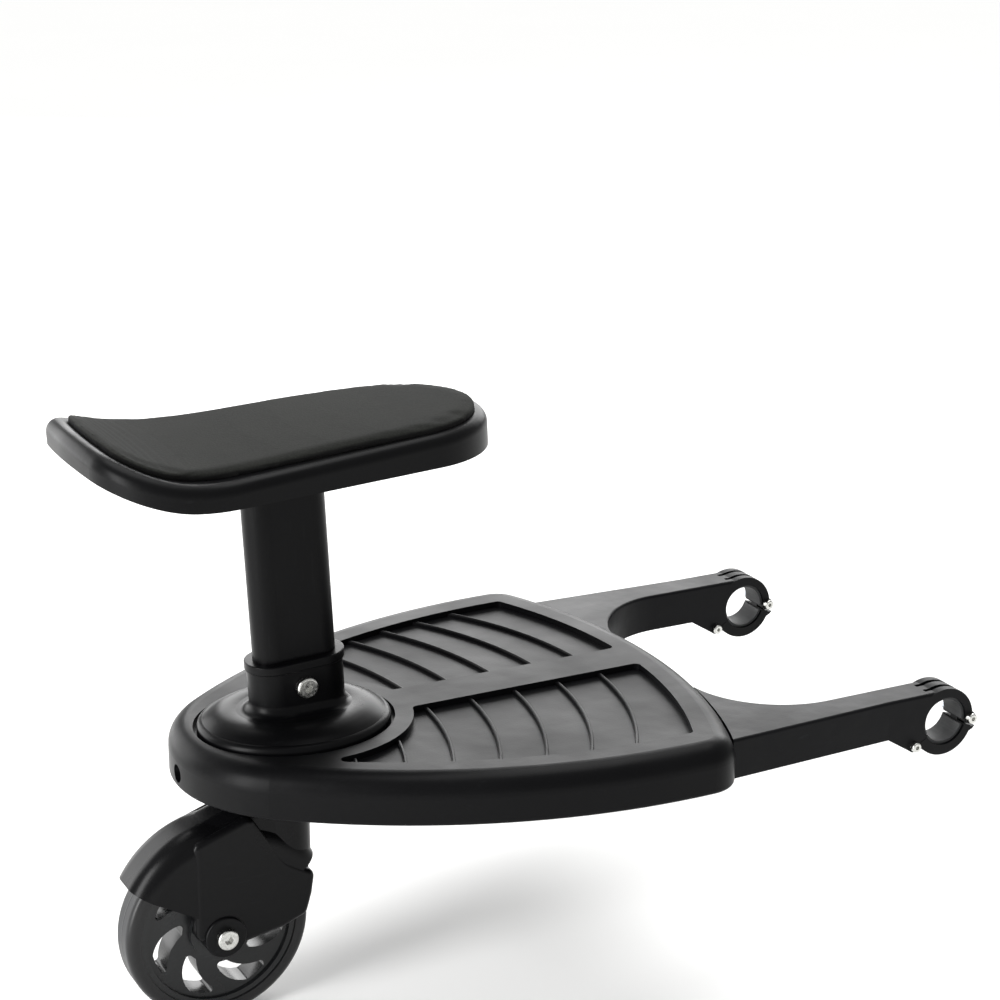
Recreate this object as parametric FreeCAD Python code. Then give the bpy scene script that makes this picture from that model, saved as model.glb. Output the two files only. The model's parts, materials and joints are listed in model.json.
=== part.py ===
import FreeCAD, Part
import math
import os
from FreeCAD import Vector

# Buggy board with a seat: a moulded deck that clamps to a pushchair's rear tube by two
# arms, one swivelling castor under its rear end, and a saddle on a leaning post.
# Sizes are in millimetres and degrees. While it is drawn, X = 0 is the axis of the two
# clamp bores, Y = 0 the plane of symmetry and Z = 0 the ground. +X points to the pushchair.

# Whole board
deck_top = 193.0
arm_from_side = 39.0
bore_to_deck = 144.0
bore_drop = 30.2

# Clearances and fits
running_gap = 0.05
thread_gap = 0.05
bolt_gap = 0.2
seat_gap = 0.1
side_gap = 0.3

# Deck
deck_length = 351.5
deck_width = 328.0
deck_depth = 32.0
deck_wall = 4.0
deck_plate = 4.0
side_radius = 410.0
widest_from_front = 58.0
front_radius = 372.0
corner_radius = 25.0
rim_round = 14.0
skirt_round = 2.5
stiffener_thick = 2.6
stiffener_pitch = 48.0
stiffener_lift = 2.0
tail_hole_radius = 6.0
tail_hole_drop = 22.0

# Treads on the deck
tread_depth = 4.4
tread_rim = 28.0
tread_front_rim = 25.0
tread_front_radius = 330.0
spine_width = 32.0
tread_corner_radius = 4.0
rib_count = 7
rib_pitch = 32.4
rib_from_front = 55.0
rib_radius = 245.0
rib_width = 2.2
rib_height = 2.0

# Arms and the tenons that hold them under the deck
arm_width = 24.0
arm_height = 27.0
arm_drop = 8.1
arm_round = 2.0
arm_wall = 3.5
arm_web_pitch = 34.0
arm_splay = 2.5
root_radius = 66.0
root_toe = 1.5
tenon_length = 86.0
tenon_width = 19.0
tenon_drop = 16.0
tenon_bolt_inset = 18.0
tenon_bolt_pitch = 40.0
arm_bolt_radius = 3.0
arm_bolt_head_radius = 5.0
arm_bolt_head_height = 3.2

# Tube clamps at the ends of the arms
tube_radius = 15.0
liner_thick = 1.8
liner_inset = 2.0
clamp_radius = 23.6
clamp_back = 1.0
clamp_rise = -0.2
groove_width = 3.4
groove_depth = 2.6
groove_spread = 9.6
groove_front_angle = 32.0
groove_rear_angle = 122.0
jaw_front_angle = 16.0
split_gap = 0.9
lock_reach = 20.5
lock_drop = 1.0
lock_lug_radius = 4.4
finger_rise = 0.8
hinge_reach = 25.0
hinge_drop = 13.2
hinge_lug_radius = 4.5
hinge_web_reach = 23.0
clamp_screw_radius = 2.0
clamp_head_radius = 3.5
clamp_head_height = 4.0
clamp_nut_across = 7.0
clamp_nut_height = 3.2

# Seat socket
socket_from_rear = 80.5
socket_length = 127.0
socket_width = 112.0
socket_edge = 8.8
socket_dome = 6.0
socket_recess_gap = 2.5
tread_to_socket = 14.5
collar_height = 45.5
collar_wall = 4.2
collar_lip = 1.3
collar_lip_height = 6.0
collar_fillet = 6.0
socket_floor = 3.0
socket_screw_spread_x = 84.0
socket_screw_spread_y = 62.0
socket_screw_radius = 2.5
socket_screw_head_radius = 4.5
socket_screw_head_height = 3.0
socket_screw_grip = 6.0
socket_boss_depth = 9.0

# Post
post_ahead = 3.0
post_lean = 2.7
post_length = 55.0
post_width = 25.0
post_wall = 2.5
post_gap = 0.15
post_bolt_height = 28.0
post_bolt_radius = 4.0
post_head_radius = 7.0
post_head_height = 4.4
post_nut_across = 13.0
post_nut_height = 8.0
plug_height = 32.0

# Saddle
saddle_height = 191.5
saddle_rear = 122.0
saddle_front = 130.0
saddle_rear_width = 134.0
saddle_front_radius = 55.0
saddle_rear_radius = 300.0
saddle_corner_radius = 32.0
saddle_rim = 14.0
saddle_nose_rim = 7.5
saddle_depth = 17.8
saddle_rear_depth = 22.5
saddle_tilt = 1.8
saddle_shell = 3.5
saddle_edge_round = 7.5
saddle_lip_length = 68.0
saddle_lip_rise = 20.0
saddle_collar_wall = 3.0
saddle_web_pitch = 46.0
saddle_web_thick = 2.4
pad_thick = 5.5
pad_crown = 1.2
pad_edge_round = 1.8
seat_screw_spread = 26.0
seat_screw_radius = 2.5
seat_screw_head_radius = 4.6
seat_screw_head_height = 2.0
seat_screw_length = 22.0

# Castor swivel
swivel_from_rear = 67.5
swivel_trail = 47.5
swivel_gap = 2.0
swivel_bolt_radius = 5.0
swivel_head_across = 17.0
swivel_head_height = 6.4
swivel_boss_radius = 20.0
swivel_bearing_radius = 13.0
swivel_bearing_width = 8.0
swivel_spacer_length = 11.0
swivel_sleeve_radius = 7.2
swivel_washer_thick = 1.5
swivel_nut_height = 8.4

# Castor fork
hub_radius = 20.2
tyre_gap = 6.5
fender_thick = 4.0
fender_side = 7.4
fender_front_angle = 31.0
fender_rear_angle = 150.0
fender_round = 15.0
fender_ahead = 4.5
fender_lift = 3.8
wheel_side_gap = 2.5
leg_thick = 8.0
leg_rear = 19.0
leg_corner_round = 6.0
leg_shoulder_round = 28.0
leg_edge_round = 4.0
crown_start = 16.4
crown_height = 72.3
crown_step = 5.5
crown_slope = 18.6
crown_width = 36.0
crown_round = 12.0
axle_boss_radius = 14.0
axle_boss_proud = 2.0

# Wheel
wheel_diameter = 124.0
tyre_width = 24.0
tyre_depth = 9.0
tyre_round = 5.0
rim_depth = 4.0
rim_inset = 1.0
web_inset = 3.0
wheel_hub_radius = 20.0
wheel_hub_width = 26.0
opening_count = 7
opening_start = 7.0
opening_inner_radius = 24.5
opening_outer_radius = 45.5
opening_sweep = 30.0
opening_outer_angle = 31.0
opening_inner_angle = 17.0
opening_round = 2.5
axle_radius = 4.0
axle_head_radius = 7.0
axle_head_height = 4.4
axle_nut_across = 13.0
axle_nut_height = 8.0
wheel_bearing_radius = 11.0
wheel_bearing_width = 7.0
axle_sleeve_radius = 6.0

# Places that follow from the sizes above
arm_spacing = deck_width - 2 * arm_from_side
deck_bottom = deck_top - deck_depth
deck_front_x = -bore_to_deck
deck_rear_x = deck_front_x - deck_length
tread_floor = deck_top - tread_depth
deck_ceiling = tread_floor - deck_plate
arm_top = deck_top - arm_drop
arm_bottom = arm_top - arm_height
tenon_top = deck_top - tenon_drop
bore_z = deck_top - bore_drop
clamp_seat_radius = tube_radius + liner_thick + seat_gap
finger_width = arm_width / 3
jaw_rear_angle = 180 - math.degrees(math.atan2(hinge_drop, hinge_reach)) - 2.5
socket_x = deck_rear_x + socket_from_rear
post_x = socket_x + post_ahead
swivel_x = deck_rear_x + swivel_from_rear
axle_x = swivel_x - swivel_trail
axle_z = wheel_diameter / 2
hub_top = deck_bottom - swivel_gap
fender_inner = wheel_diameter / 2 + tyre_gap
fender_outer = fender_inner + fender_thick
cheek_inner = tyre_width / 2 + wheel_side_gap
cheek_outer = cheek_inner + leg_thick
skirt_outer = cheek_inner + fender_side
boss_outer = cheek_outer + axle_boss_proud
rim_outer = wheel_diameter / 2 - tyre_depth
UP = Vector(0, 0, 1)
LEFT = Vector(0, 1, 0)


# General shapes

def box(x0, x1, y0, y1, z0, z1):
    return Part.makeBox(x1 - x0, y1 - y0, z1 - z0, Vector(x0, y0, z0))


def rod(radius, start, end):
    way = end - start
    return Part.makeCylinder(radius, way.Length, start, way)


def pipe(outer, inner, start, end):
    return rod(outer, start, end).cut(rod(inner, start, end))


def prism(wire, z0, z1):
    face = Part.Face(wire)
    face.translate(Vector(0, 0, z0))
    return face.extrude(Vector(0, 0, z1 - z0))


def side_prism(corners, y0, y1):
    points = [Vector(x, y0, z) for x, z in corners]
    face = Part.Face(Part.makePolygon(points + points[:1]))
    return face.extrude(Vector(0, y1 - y0, 0))


def fuse(shapes):
    return shapes[0].multiFuse(shapes[1:]).removeSplitter()


def cut(shape, tools):
    return shape.cut(Part.makeCompound(tools)) if tools else shape


def polar(radius, angle):
    return (radius * math.cos(math.radians(angle)), radius * math.sin(math.radians(angle)))


def flat_edges(shape, z):
    return [e for e in shape.Edges
            if abs(e.BoundBox.ZMin - z) < 0.01 and abs(e.BoundBox.ZMax - z) < 0.01]


def side_edges(shape, y):
    return [e for e in shape.Edges
            if abs(e.BoundBox.YMin - y) < 0.01 and abs(e.BoundBox.YMax - y) < 0.01]


def crosswise_edges(shape):
    return [e for e in shape.Edges if e.BoundBox.XLength < 0.01 and e.BoundBox.ZLength < 0.01]


def upright_edges(shape):
    return [e for e in shape.Edges if e.BoundBox.XLength < 0.01 and e.BoundBox.YLength < 0.01]


def arc(centre, radius, start, end):
    middle = (start - centre) + (end - centre)
    middle.normalize()
    return Part.Arc(start, centre + middle * radius, end).toShape()


def line(start, end):
    return Part.LineSegment(start, end).toShape()


def mirrored(point):
    return Vector(point.x, -point.y, point.z)


def mirror(shape):
    return shape.mirror(Vector(0, 0, 0), LEFT)


def circles_meet(centre_a, radius_a, centre_b, radius_b):
    # the meeting point on the left of the line from a to b
    way = centre_b - centre_a
    along = (radius_a ** 2 - radius_b ** 2 + way.Length ** 2) / (2 * way.Length)
    across = math.sqrt(radius_a ** 2 - along ** 2)
    way.normalize()
    return centre_a + way * along + Vector(-way.y, way.x, 0) * across


def ellipse_wire(x, length, width):
    # a full ellipse about (x, 0), whichever side is longer
    if length >= width:
        curve = Part.Ellipse(Vector(x, 0, 0), length / 2, width / 2)
    else:
        curve = Part.Ellipse(Vector(x, width / 2, 0), Vector(x + length / 2, 0, 0), Vector(x, 0, 0))
    return Part.Wire(curve.toShape())


def obround_wire(x, length, width):
    half = (length - width) / 2
    radius = width / 2
    front, rear = Vector(x + half, 0, 0), Vector(x - half, 0, 0)
    side = Vector(0, radius, 0)
    return Part.Wire([
        Part.Arc(front - side, front + Vector(radius, 0, 0), front + side).toShape(),
        line(front + side, rear + side),
        Part.Arc(rear + side, rear - Vector(radius, 0, 0), rear - side).toShape(),
        line(rear - side, front - side),
    ])


# Fasteners, drawn with the head's seat at the origin and the head towards +Z

def aimed(shape, seat, way):
    shape = shape.copy()
    shape.Placement = FreeCAD.Placement(seat, FreeCAD.Rotation(UP, way))
    return shape


def hexagon(across, height, base=0.0):
    radius = across / math.sqrt(3)
    corners = [Vector(*polar(radius, 60 * k), base) for k in range(7)]
    return Part.Face(Part.makePolygon(corners)).extrude(Vector(0, 0, height))


def socket_screw(radius, length, head_radius, head_height):
    head = Part.makeCylinder(head_radius, head_height)
    head = head.makeFillet(min(head_radius, head_height) * 0.3, flat_edges(head, head_height))
    head = head.cut(hexagon(head_radius * 0.75, head_height * 0.6, head_height * 0.4 + 0.01))
    shank = Part.makeCylinder(radius, length, Vector(0, 0, -length))
    shank = shank.makeChamfer(radius * 0.2, flat_edges(shank, -length))
    return head.fuse(shank).removeSplitter()


def hex_bolt(radius, length, across, head_height):
    crown = Part.makeCone(across / 2 + head_height, across / 2 * 0.94, head_height)
    head = hexagon(across, head_height).common(crown)
    shank = Part.makeCylinder(radius, length, Vector(0, 0, -length))
    return head.fuse(shank).removeSplitter()


def lock_nut(radius, across, height):
    body = hexagon(across, height * 0.75)
    collar = Part.makeCylinder(across / 2 * 0.9, height)
    hole = Part.makeCylinder(radius + thread_gap, height + 2, Vector(0, 0, -1))
    return body.fuse(collar).cut(hole).removeSplitter()


def bearing(outer, bore, width):
    ring = Part.makeCylinder(outer, width).cut(Part.makeCylinder(bore, width))
    land = (outer - bore) * 0.28
    for z in (-0.01, width - 0.49):
        groove = Part.makeCylinder(outer - land, 0.5, Vector(0, 0, z))
        ring = ring.cut(groove.cut(Part.makeCylinder(bore + land, 0.5, Vector(0, 0, z))))
    return ring


# Deck

def deck_curve():
    rear = Vector(deck_rear_x, 0, 0)
    front = Vector(deck_front_x, 0, 0)
    side_centre = Vector(deck_front_x - widest_from_front, deck_width / 2 - side_radius, 0)
    front_centre = front - Vector(front_radius, 0, 0)
    back = side_centre.x - rear.x
    rear_radius = (side_radius ** 2 - back ** 2 - side_centre.y ** 2) / (2 * (side_radius - back))
    rear_centre = rear + Vector(rear_radius, 0, 0)
    corner_centre = circles_meet(side_centre, side_radius - corner_radius,
                                 front_centre, front_radius - corner_radius)
    if corner_centre.y < 0:
        corner_centre = circles_meet(front_centre, front_radius - corner_radius,
                                     side_centre, side_radius - corner_radius)
    rear_end = side_centre + (rear_centre - side_centre).normalize() * side_radius
    side_end = side_centre + (corner_centre - side_centre).normalize() * side_radius
    front_end = front_centre + (corner_centre - front_centre).normalize() * front_radius
    left = [arc(side_centre, side_radius, rear_end, side_end),
            arc(corner_centre, corner_radius, side_end, front_end)]
    right = [arc(mirrored(corner_centre), corner_radius, mirrored(front_end), mirrored(side_end)),
             arc(mirrored(side_centre), side_radius, mirrored(side_end), mirrored(rear_end))]
    nose = Part.Arc(front_end, front, mirrored(front_end)).toShape()
    tail = Part.Arc(mirrored(rear_end), rear, rear_end).toShape()
    return Part.Wire([tail] + left + [nose] + right)


deck_wire = deck_curve()


def deck_inset(distance):
    return deck_wire.makeOffset2D(-distance)


def tread_recess():
    low, high = Vector(0, 0, tread_floor), Vector(0, 0, deck_top + 1)
    front = Vector(deck_front_x - tread_front_rim - tread_front_radius, 0, 0)
    well = rod(tread_front_radius, front + low, front + high)
    for side in (-1, 1):
        inward = deck_width / 2 - tread_rim - side_radius
        centre = Vector(deck_front_x - widest_from_front, side * inward, 0)
        well = well.common(rod(side_radius, centre + low, centre + high))
    spine = box(deck_rear_x, 0, -spine_width / 2, spine_width / 2, tread_floor - 1, deck_top + 2)
    around = ellipse_wire(socket_x, socket_length + 2 * tread_to_socket, socket_width + 2 * tread_to_socket)
    sides = cut(well, [spine, prism(around, tread_floor - 1, deck_top + 2)])
    treads = [s for s in sides.Solids if s.BoundBox.XMax > socket_x]
    rounded = [s.makeFillet(tread_corner_radius, upright_edges(s)) for s in treads]
    return Part.makeCompound(rounded)


def tread_ribs(recess):
    ribs = []
    for k in range(rib_count):
        apex = deck_front_x - rib_from_front - k * rib_pitch
        centre = Vector(apex - rib_radius, 0, tread_floor)
        top = centre + Vector(0, 0, rib_height)
        band = pipe(rib_radius + rib_width / 2, rib_radius - rib_width / 2, centre, top)
        front_half = box(centre.x, centre.x + 2 * rib_radius, -deck_width, deck_width, 0, 2 * deck_top)
        ribs.append(band.common(front_half).common(recess))
    return [solid for rib in ribs for solid in rib.Solids]


def socket_screw_places():
    return [(socket_x + sx * socket_screw_spread_x / 2, sy * socket_screw_spread_y / 2)
            for sx in (-1, 1) for sy in (-1, 1)]


def arm_bolt_places(side):
    y = side * arm_spacing / 2
    first = deck_front_x - tenon_bolt_inset - arm_spacing ** 2 / (8 * front_radius)
    return [(first - k * tenon_bolt_pitch, y) for k in range(2)]


def tenon_zone(side, gap):
    y = side * arm_spacing / 2
    half = tenon_width / 2 + gap
    return box(deck_front_x - tenon_length - gap, deck_front_x + 30, y - half, y + half,
               deck_bottom - 40, tenon_top + gap)


def deck_stiffeners():
    grid = []
    low, high = deck_bottom + stiffener_lift, deck_ceiling + 0.5
    half = stiffener_thick / 2
    lanes = int(deck_width / 2 / stiffener_pitch)
    for k in range(-lanes, lanes + 1):
        y = k * stiffener_pitch
        grid.append(box(deck_rear_x, deck_front_x, y - half, y + half, low, high))
    for k in range(1, int(deck_length / stiffener_pitch) + 1):
        x = deck_front_x - k * stiffener_pitch
        grid.append(box(x - half, x + half, -deck_width / 2, deck_width / 2, low, high))
    for side in (-1, 1):
        for edge in (-1, 1):
            y = side * arm_spacing / 2 + edge * (tenon_width / 2 + side_gap + half)
            grid.append(box(deck_front_x - tenon_length, deck_front_x, y - half, y + half, low, high))
    inside = prism(deck_inset(deck_wall / 2), low, high)
    return fuse(grid).common(inside)


def make_deck():
    block = prism(deck_wire, deck_bottom, deck_top)
    block = block.makeFillet(rim_round, flat_edges(block, deck_top))
    block = block.makeFillet(skirt_round, flat_edges(block, deck_bottom))
    recess = tread_recess()
    hollow = prism(deck_inset(deck_wall), deck_bottom - 1, deck_ceiling)
    shell = cut(block, recess.Solids + [hollow])
    bosses = [Part.makeCylinder(swivel_boss_radius, deck_ceiling + 0.5 - deck_bottom,
                                Vector(swivel_x, 0, deck_bottom))]
    for x, y in socket_screw_places():
        bosses.append(Part.makeCylinder(socket_screw_head_radius + 2, socket_boss_depth + 0.5,
                                        Vector(x, y, deck_ceiling - socket_boss_depth)))
    stiffeners = deck_stiffeners()
    room = [tenon_zone(side, side_gap) for side in (-1, 1)]
    for x, y in socket_screw_places():
        room.append(rod(socket_screw_head_radius + 1.5, Vector(x, y, 0),
                        Vector(x, y, deck_ceiling - socket_boss_depth)))
    behind_tail = 6 * deck_wall
    half = tail_hole_radius + side_gap
    room.append(box(deck_rear_x, deck_rear_x + behind_tail, -half, half, 0, deck_ceiling))
    stiffeners = cut(stiffeners, room)
    posts = []
    for side in (-1, 1):
        for x, y in arm_bolt_places(side):
            posts.append(Part.makeCylinder(arm_bolt_radius + 3, deck_ceiling + 0.5 - tenon_top,
                                           Vector(x, y, tenon_top)))
    body = fuse([shell] + stiffeners.Solids + bosses + posts + tread_ribs(recess))
    holes = [prism(ellipse_wire(socket_x, socket_length + 2 * socket_recess_gap,
                                socket_width + 2 * socket_recess_gap), tread_floor, deck_top + 1)]
    holes += [tenon_zone(side, side_gap) for side in (-1, 1)]
    holes.append(rod(swivel_bolt_radius + seat_gap, Vector(swivel_x, 0, 0), Vector(swivel_x, 0, deck_top)))
    holes.append(rod(swivel_head_across / math.sqrt(3) + seat_gap,
                     Vector(swivel_x, 0, tread_floor - swivel_head_height - seat_gap),
                     Vector(swivel_x, 0, deck_top)))
    for x, y in socket_screw_places():
        holes.append(rod(socket_screw_radius + bolt_gap, Vector(x, y, 0), Vector(x, y, deck_top)))
    for side in (-1, 1):
        for x, y in arm_bolt_places(side):
            holes.append(rod(arm_bolt_radius + thread_gap, Vector(x, y, 0), Vector(x, y, deck_ceiling + 1)))
    tail = Vector(deck_rear_x, 0, deck_top - tail_hole_drop)
    holes.append(rod(tail_hole_radius, tail - Vector(1, 0, 0), tail + Vector(2 * deck_wall, 0, 0)))
    return cut(body, holes)


# Arms and tube clamps. The left arm is drawn, and the right one is its mirror image.

def at_clamp(u, v, y):
    return Vector(u, y, bore_z + v)


def across_clamp(radius, u, v, y0, y1):
    return rod(radius, at_clamp(u, v, y0), at_clamp(u, v, y1))


def clamp_ring(radius, y0, y1):
    # the outside of a clamp, a little above and behind its bore
    return across_clamp(radius, -clamp_back, clamp_rise, y0, y1)


def clamp_polygon(corners, y0, y1):
    return side_prism([(u, bore_z + v) for u, v in corners], y0, y1)


def clamp_wedge(start, end, reach, y0, y1):
    # a slice about the bore axis between two angles, up to 180 degrees apart
    steps = 8
    rim = [polar(reach, start + (end - start) * k / steps) for k in range(steps + 1)]
    return clamp_polygon([(0, 0)] + rim, y0, y1)


def finger_bands(y):
    # the outer thirds of a clamp at y, and its middle third
    near, far = y - arm_width / 2, y + arm_width / 2
    low, high = y - finger_width / 2, y + finger_width / 2
    return [(near, low), (high, far)], (low, high)


def arm_plan(y):
    inner, outer = y - arm_width / 2, y + arm_width / 2
    nose_centre = Vector(deck_front_x - front_radius, 0, 0)
    root_y = inner - root_radius
    reach = front_radius + root_radius
    root_centre = Vector(nose_centre.x + math.sqrt(reach ** 2 - root_y ** 2), root_y, 0)
    # the fillet would fade out on the deck's edge, so it stops where it is a toe thick
    touch_y = root_y * front_radius / reach
    toe_y = touch_y + math.sqrt(2 * root_toe / (1 / root_radius + 1 / front_radius))
    toe = Vector(root_centre.x - math.sqrt(root_radius ** 2 - (toe_y - root_y) ** 2), toe_y, 0)
    depth = deck_front_x - corner_radius - root_radius
    splay_x = -clamp_radius - hinge_web_reach
    widest = outer + (splay_x - depth) * math.tan(math.radians(arm_splay))
    points = [Vector(0, outer, 0), Vector(splay_x, outer, 0), Vector(depth, widest, 0),
              Vector(depth, toe_y, 0), toe, Vector(root_centre.x, inner, 0), Vector(0, inner, 0)]
    edges = [line(a, b) for a, b in zip(points[:4], points[1:5])]
    edges += [arc(root_centre, root_radius, points[4], points[5]),
              line(points[5], points[6]), line(points[6], points[0])]
    return Part.Wire(edges)


def arm_hollow(y):
    # the open underside of the arm, crossed by webs
    half = arm_width / 2 - arm_wall
    front = -clamp_radius - hinge_web_reach
    rear = deck_front_x + root_radius * 0.2
    cells = []
    x = front
    while x - arm_web_pitch > rear:
        cells.append(box(x - arm_web_pitch + arm_wall, x, y - half, y + half,
                         arm_bottom - 1, arm_top - arm_wall))
        x -= arm_web_pitch
    return cells


def make_arm(y):
    bands, middle = finger_bands(y)
    near, far = y - arm_width / 2, y + arm_width / 2
    bar = prism(arm_plan(y), arm_bottom, arm_top)
    bar = bar.makeFillet(arm_round, flat_edges(bar, arm_top))
    bar = bar.cut(prism(deck_wire.makeOffset2D(side_gap), arm_bottom - 1, arm_top + 1))
    solids = [bar, clamp_ring(clamp_radius, near, far)]
    lug_x, lug_z = -hinge_reach, -hinge_drop
    slant = hinge_lug_radius * math.sqrt(0.5)
    under = arm_bottom - bore_z + 1
    for low, high in bands:
        solids.append(across_clamp(hinge_lug_radius, lug_x, lug_z, low, high))
        solids.append(clamp_polygon([(lug_x - hinge_web_reach, under), (lug_x - slant, lug_z - slant),
                                     (lug_x, lug_z), (lug_x + slant, lug_z + slant),
                                     (lug_x + slant + 3, under)], low, high))
        solids.append(across_clamp(lock_lug_radius, lock_reach, -lock_drop, low, high))
    tenon = tenon_zone(1, 0)
    tenon = tenon.common(box(deck_rear_x, deck_front_x + 2, 0, deck_width, deck_bottom, deck_top))
    solids.append(tenon)
    body = fuse(solids)
    low, high = middle[0] - side_gap, middle[1] + side_gap
    tools = [across_clamp(clamp_seat_radius, 0, 0, near - 1, far + 1),
             across_clamp(hinge_lug_radius + split_gap, lug_x, lug_z, low, high),
             box(clamp_seat_radius - 2, clamp_radius + lock_lug_radius, low, high,
                 bore_z - clamp_radius, bore_z + finger_rise + split_gap),
             across_clamp(clamp_screw_radius + thread_gap, lug_x, lug_z, near - 1, far + 1),
             across_clamp(clamp_screw_radius + thread_gap, lock_reach, -lock_drop, near - 1, far + 1)]
    mouth = clamp_wedge(-jaw_rear_angle, -jaw_front_angle * 0.75, 2 * clamp_radius, near - 1, far + 1)
    keep = [across_clamp(hinge_lug_radius, lug_x, lug_z, low, high) for low, high in bands]
    keep += [across_clamp(lock_lug_radius, lock_reach, -lock_drop, low, high) for low, high in bands]
    tools.append(cut(mouth, keep))
    arch = clamp_wedge(groove_front_angle, groove_rear_angle, 2 * clamp_radius, near, far)
    for side in (-1, 1):
        centre = y + side * groove_spread / 2
        groove = clamp_ring(2 * clamp_radius, centre - groove_width / 2, centre + groove_width / 2)
        floor = clamp_ring(clamp_radius - groove_depth, near, far)
        tools.append(groove.cut(floor).common(arch))
    tools += arm_hollow(y)
    for x, bolt_y in arm_bolt_places(1):
        tools.append(rod(arm_bolt_radius + bolt_gap, Vector(x, bolt_y, 0), Vector(x, bolt_y, deck_top)))
    body = cut(body, tools)
    return max(body.Solids, key=lambda solid: solid.Volume)


def make_jaw(y):
    bands, (low, high) = finger_bands(y)
    near, far = y - arm_width / 2, y + arm_width / 2
    low, high = low + side_gap, high - side_gap
    lug_x, lug_z = -hinge_reach, -hinge_drop
    slice_angle = split_gap / clamp_radius * 180 / math.pi / 2
    cup = clamp_ring(clamp_radius, near, far)
    cup = cup.common(clamp_wedge(-jaw_rear_angle + slice_angle, -jaw_front_angle - slice_angle,
                                 3 * clamp_radius, near, far))
    lug_front = lock_reach + lock_lug_radius
    shelf = -lug_front * math.tan(math.radians(jaw_front_angle)) - split_gap / 2
    flare = clamp_polygon([(clamp_seat_radius, shelf), (lug_front, shelf), (lug_front - 2, shelf - 2),
                           (clamp_radius * 0.75, -clamp_radius * 0.5)], near, far)
    finger = box(clamp_seat_radius - 2, lug_front, low, high, bore_z + shelf - 2, bore_z + finger_rise)
    knuckle = across_clamp(hinge_lug_radius, lug_x, lug_z, low, high)
    root_angle = jaw_rear_angle - 12
    root = clamp_polygon([(lug_x, lug_z), (lug_x + 1, lug_z - hinge_lug_radius + 0.2),
                          (-clamp_radius * 0.6, -clamp_radius * 0.72),
                          polar(clamp_seat_radius, -root_angle)], low, high)
    body = fuse([cup, flare, finger, knuckle, root])
    pull = Vector(lug_z + lock_drop, 0, hinge_reach + lock_reach)
    pull.normalize()
    tools = [across_clamp(clamp_seat_radius, 0, 0, near - 1, far + 1),
             across_clamp(clamp_screw_radius + running_gap, lug_x, lug_z, near, far)]
    for y0, y1 in ((near - 1, low), (high, far + 1)):
        tools.append(across_clamp(hinge_lug_radius + split_gap, lug_x, lug_z, y0, y1))
    slot_radius = clamp_screw_radius + bolt_gap
    lock = at_clamp(lock_reach, -lock_drop, 0)
    side = Vector(pull.z, 0, -pull.x) * slot_radius
    corners = [lock - side, lock + side, lock + side + pull * 12, lock - side + pull * 12]
    tools.append(side_prism([(p.x, p.z) for p in corners], low - 1, high + 1))
    tools.append(across_clamp(slot_radius, lock_reach, -lock_drop, low - 1, high + 1))
    body = cut(body, tools)
    return max(body.Solids, key=lambda solid: solid.Volume)


def make_liner(y, start, end):
    low, high = y - arm_width / 2 + liner_inset, y + arm_width / 2 - liner_inset
    ring = across_clamp(tube_radius + liner_thick, 0, 0, low, high)
    ring = ring.cut(across_clamp(tube_radius, 0, 0, low - 1, high + 1))
    middle = (start + end) / 2
    halves = [clamp_wedge(start, middle, 2 * clamp_radius, low, high),
              clamp_wedge(middle, end, 2 * clamp_radius, low, high)]
    return fuse([ring.common(half) for half in halves])


def clamp_screws(u, v):
    screws, nuts = [], []
    for side in (-1, 1):
        y = side * arm_spacing / 2
        near, far = y - arm_width / 2, y + arm_width / 2
        length = arm_width + clamp_nut_height + 0.8
        screw = socket_screw(clamp_screw_radius, length, clamp_head_radius, clamp_head_height)
        screws.append(aimed(screw, at_clamp(u, v, near), -LEFT))
        nuts.append(aimed(lock_nut(clamp_screw_radius, clamp_nut_across, clamp_nut_height),
                          at_clamp(u, v, far), LEFT))
    return screws, nuts


def make_arm_bolts():
    bolts = []
    for side in (-1, 1):
        for x, y in arm_bolt_places(side):
            length = deck_ceiling - deck_bottom
            bolt = socket_screw(arm_bolt_radius, length, arm_bolt_head_radius, arm_bolt_head_height)
            bolts.append(aimed(bolt, Vector(x, y, deck_bottom), -UP))
    return bolts


# Seat socket and post. The collar, post and saddle lean back together.

def leaned(shape):
    shape = shape.copy()
    shape.rotate(Vector(post_x, 0, deck_top), LEFT, -post_lean)
    return shape


def lean_point(height, y):
    foot = Vector(post_x, 0, deck_top)
    return foot + FreeCAD.Rotation(LEFT, -post_lean).multVec(Vector(0, y, height))


def post_section(grow, low, high):
    wire = obround_wire(post_x, post_length + 2 * grow, post_width + 2 * grow)
    return prism(wire, deck_top + low, deck_top + high)


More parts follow.
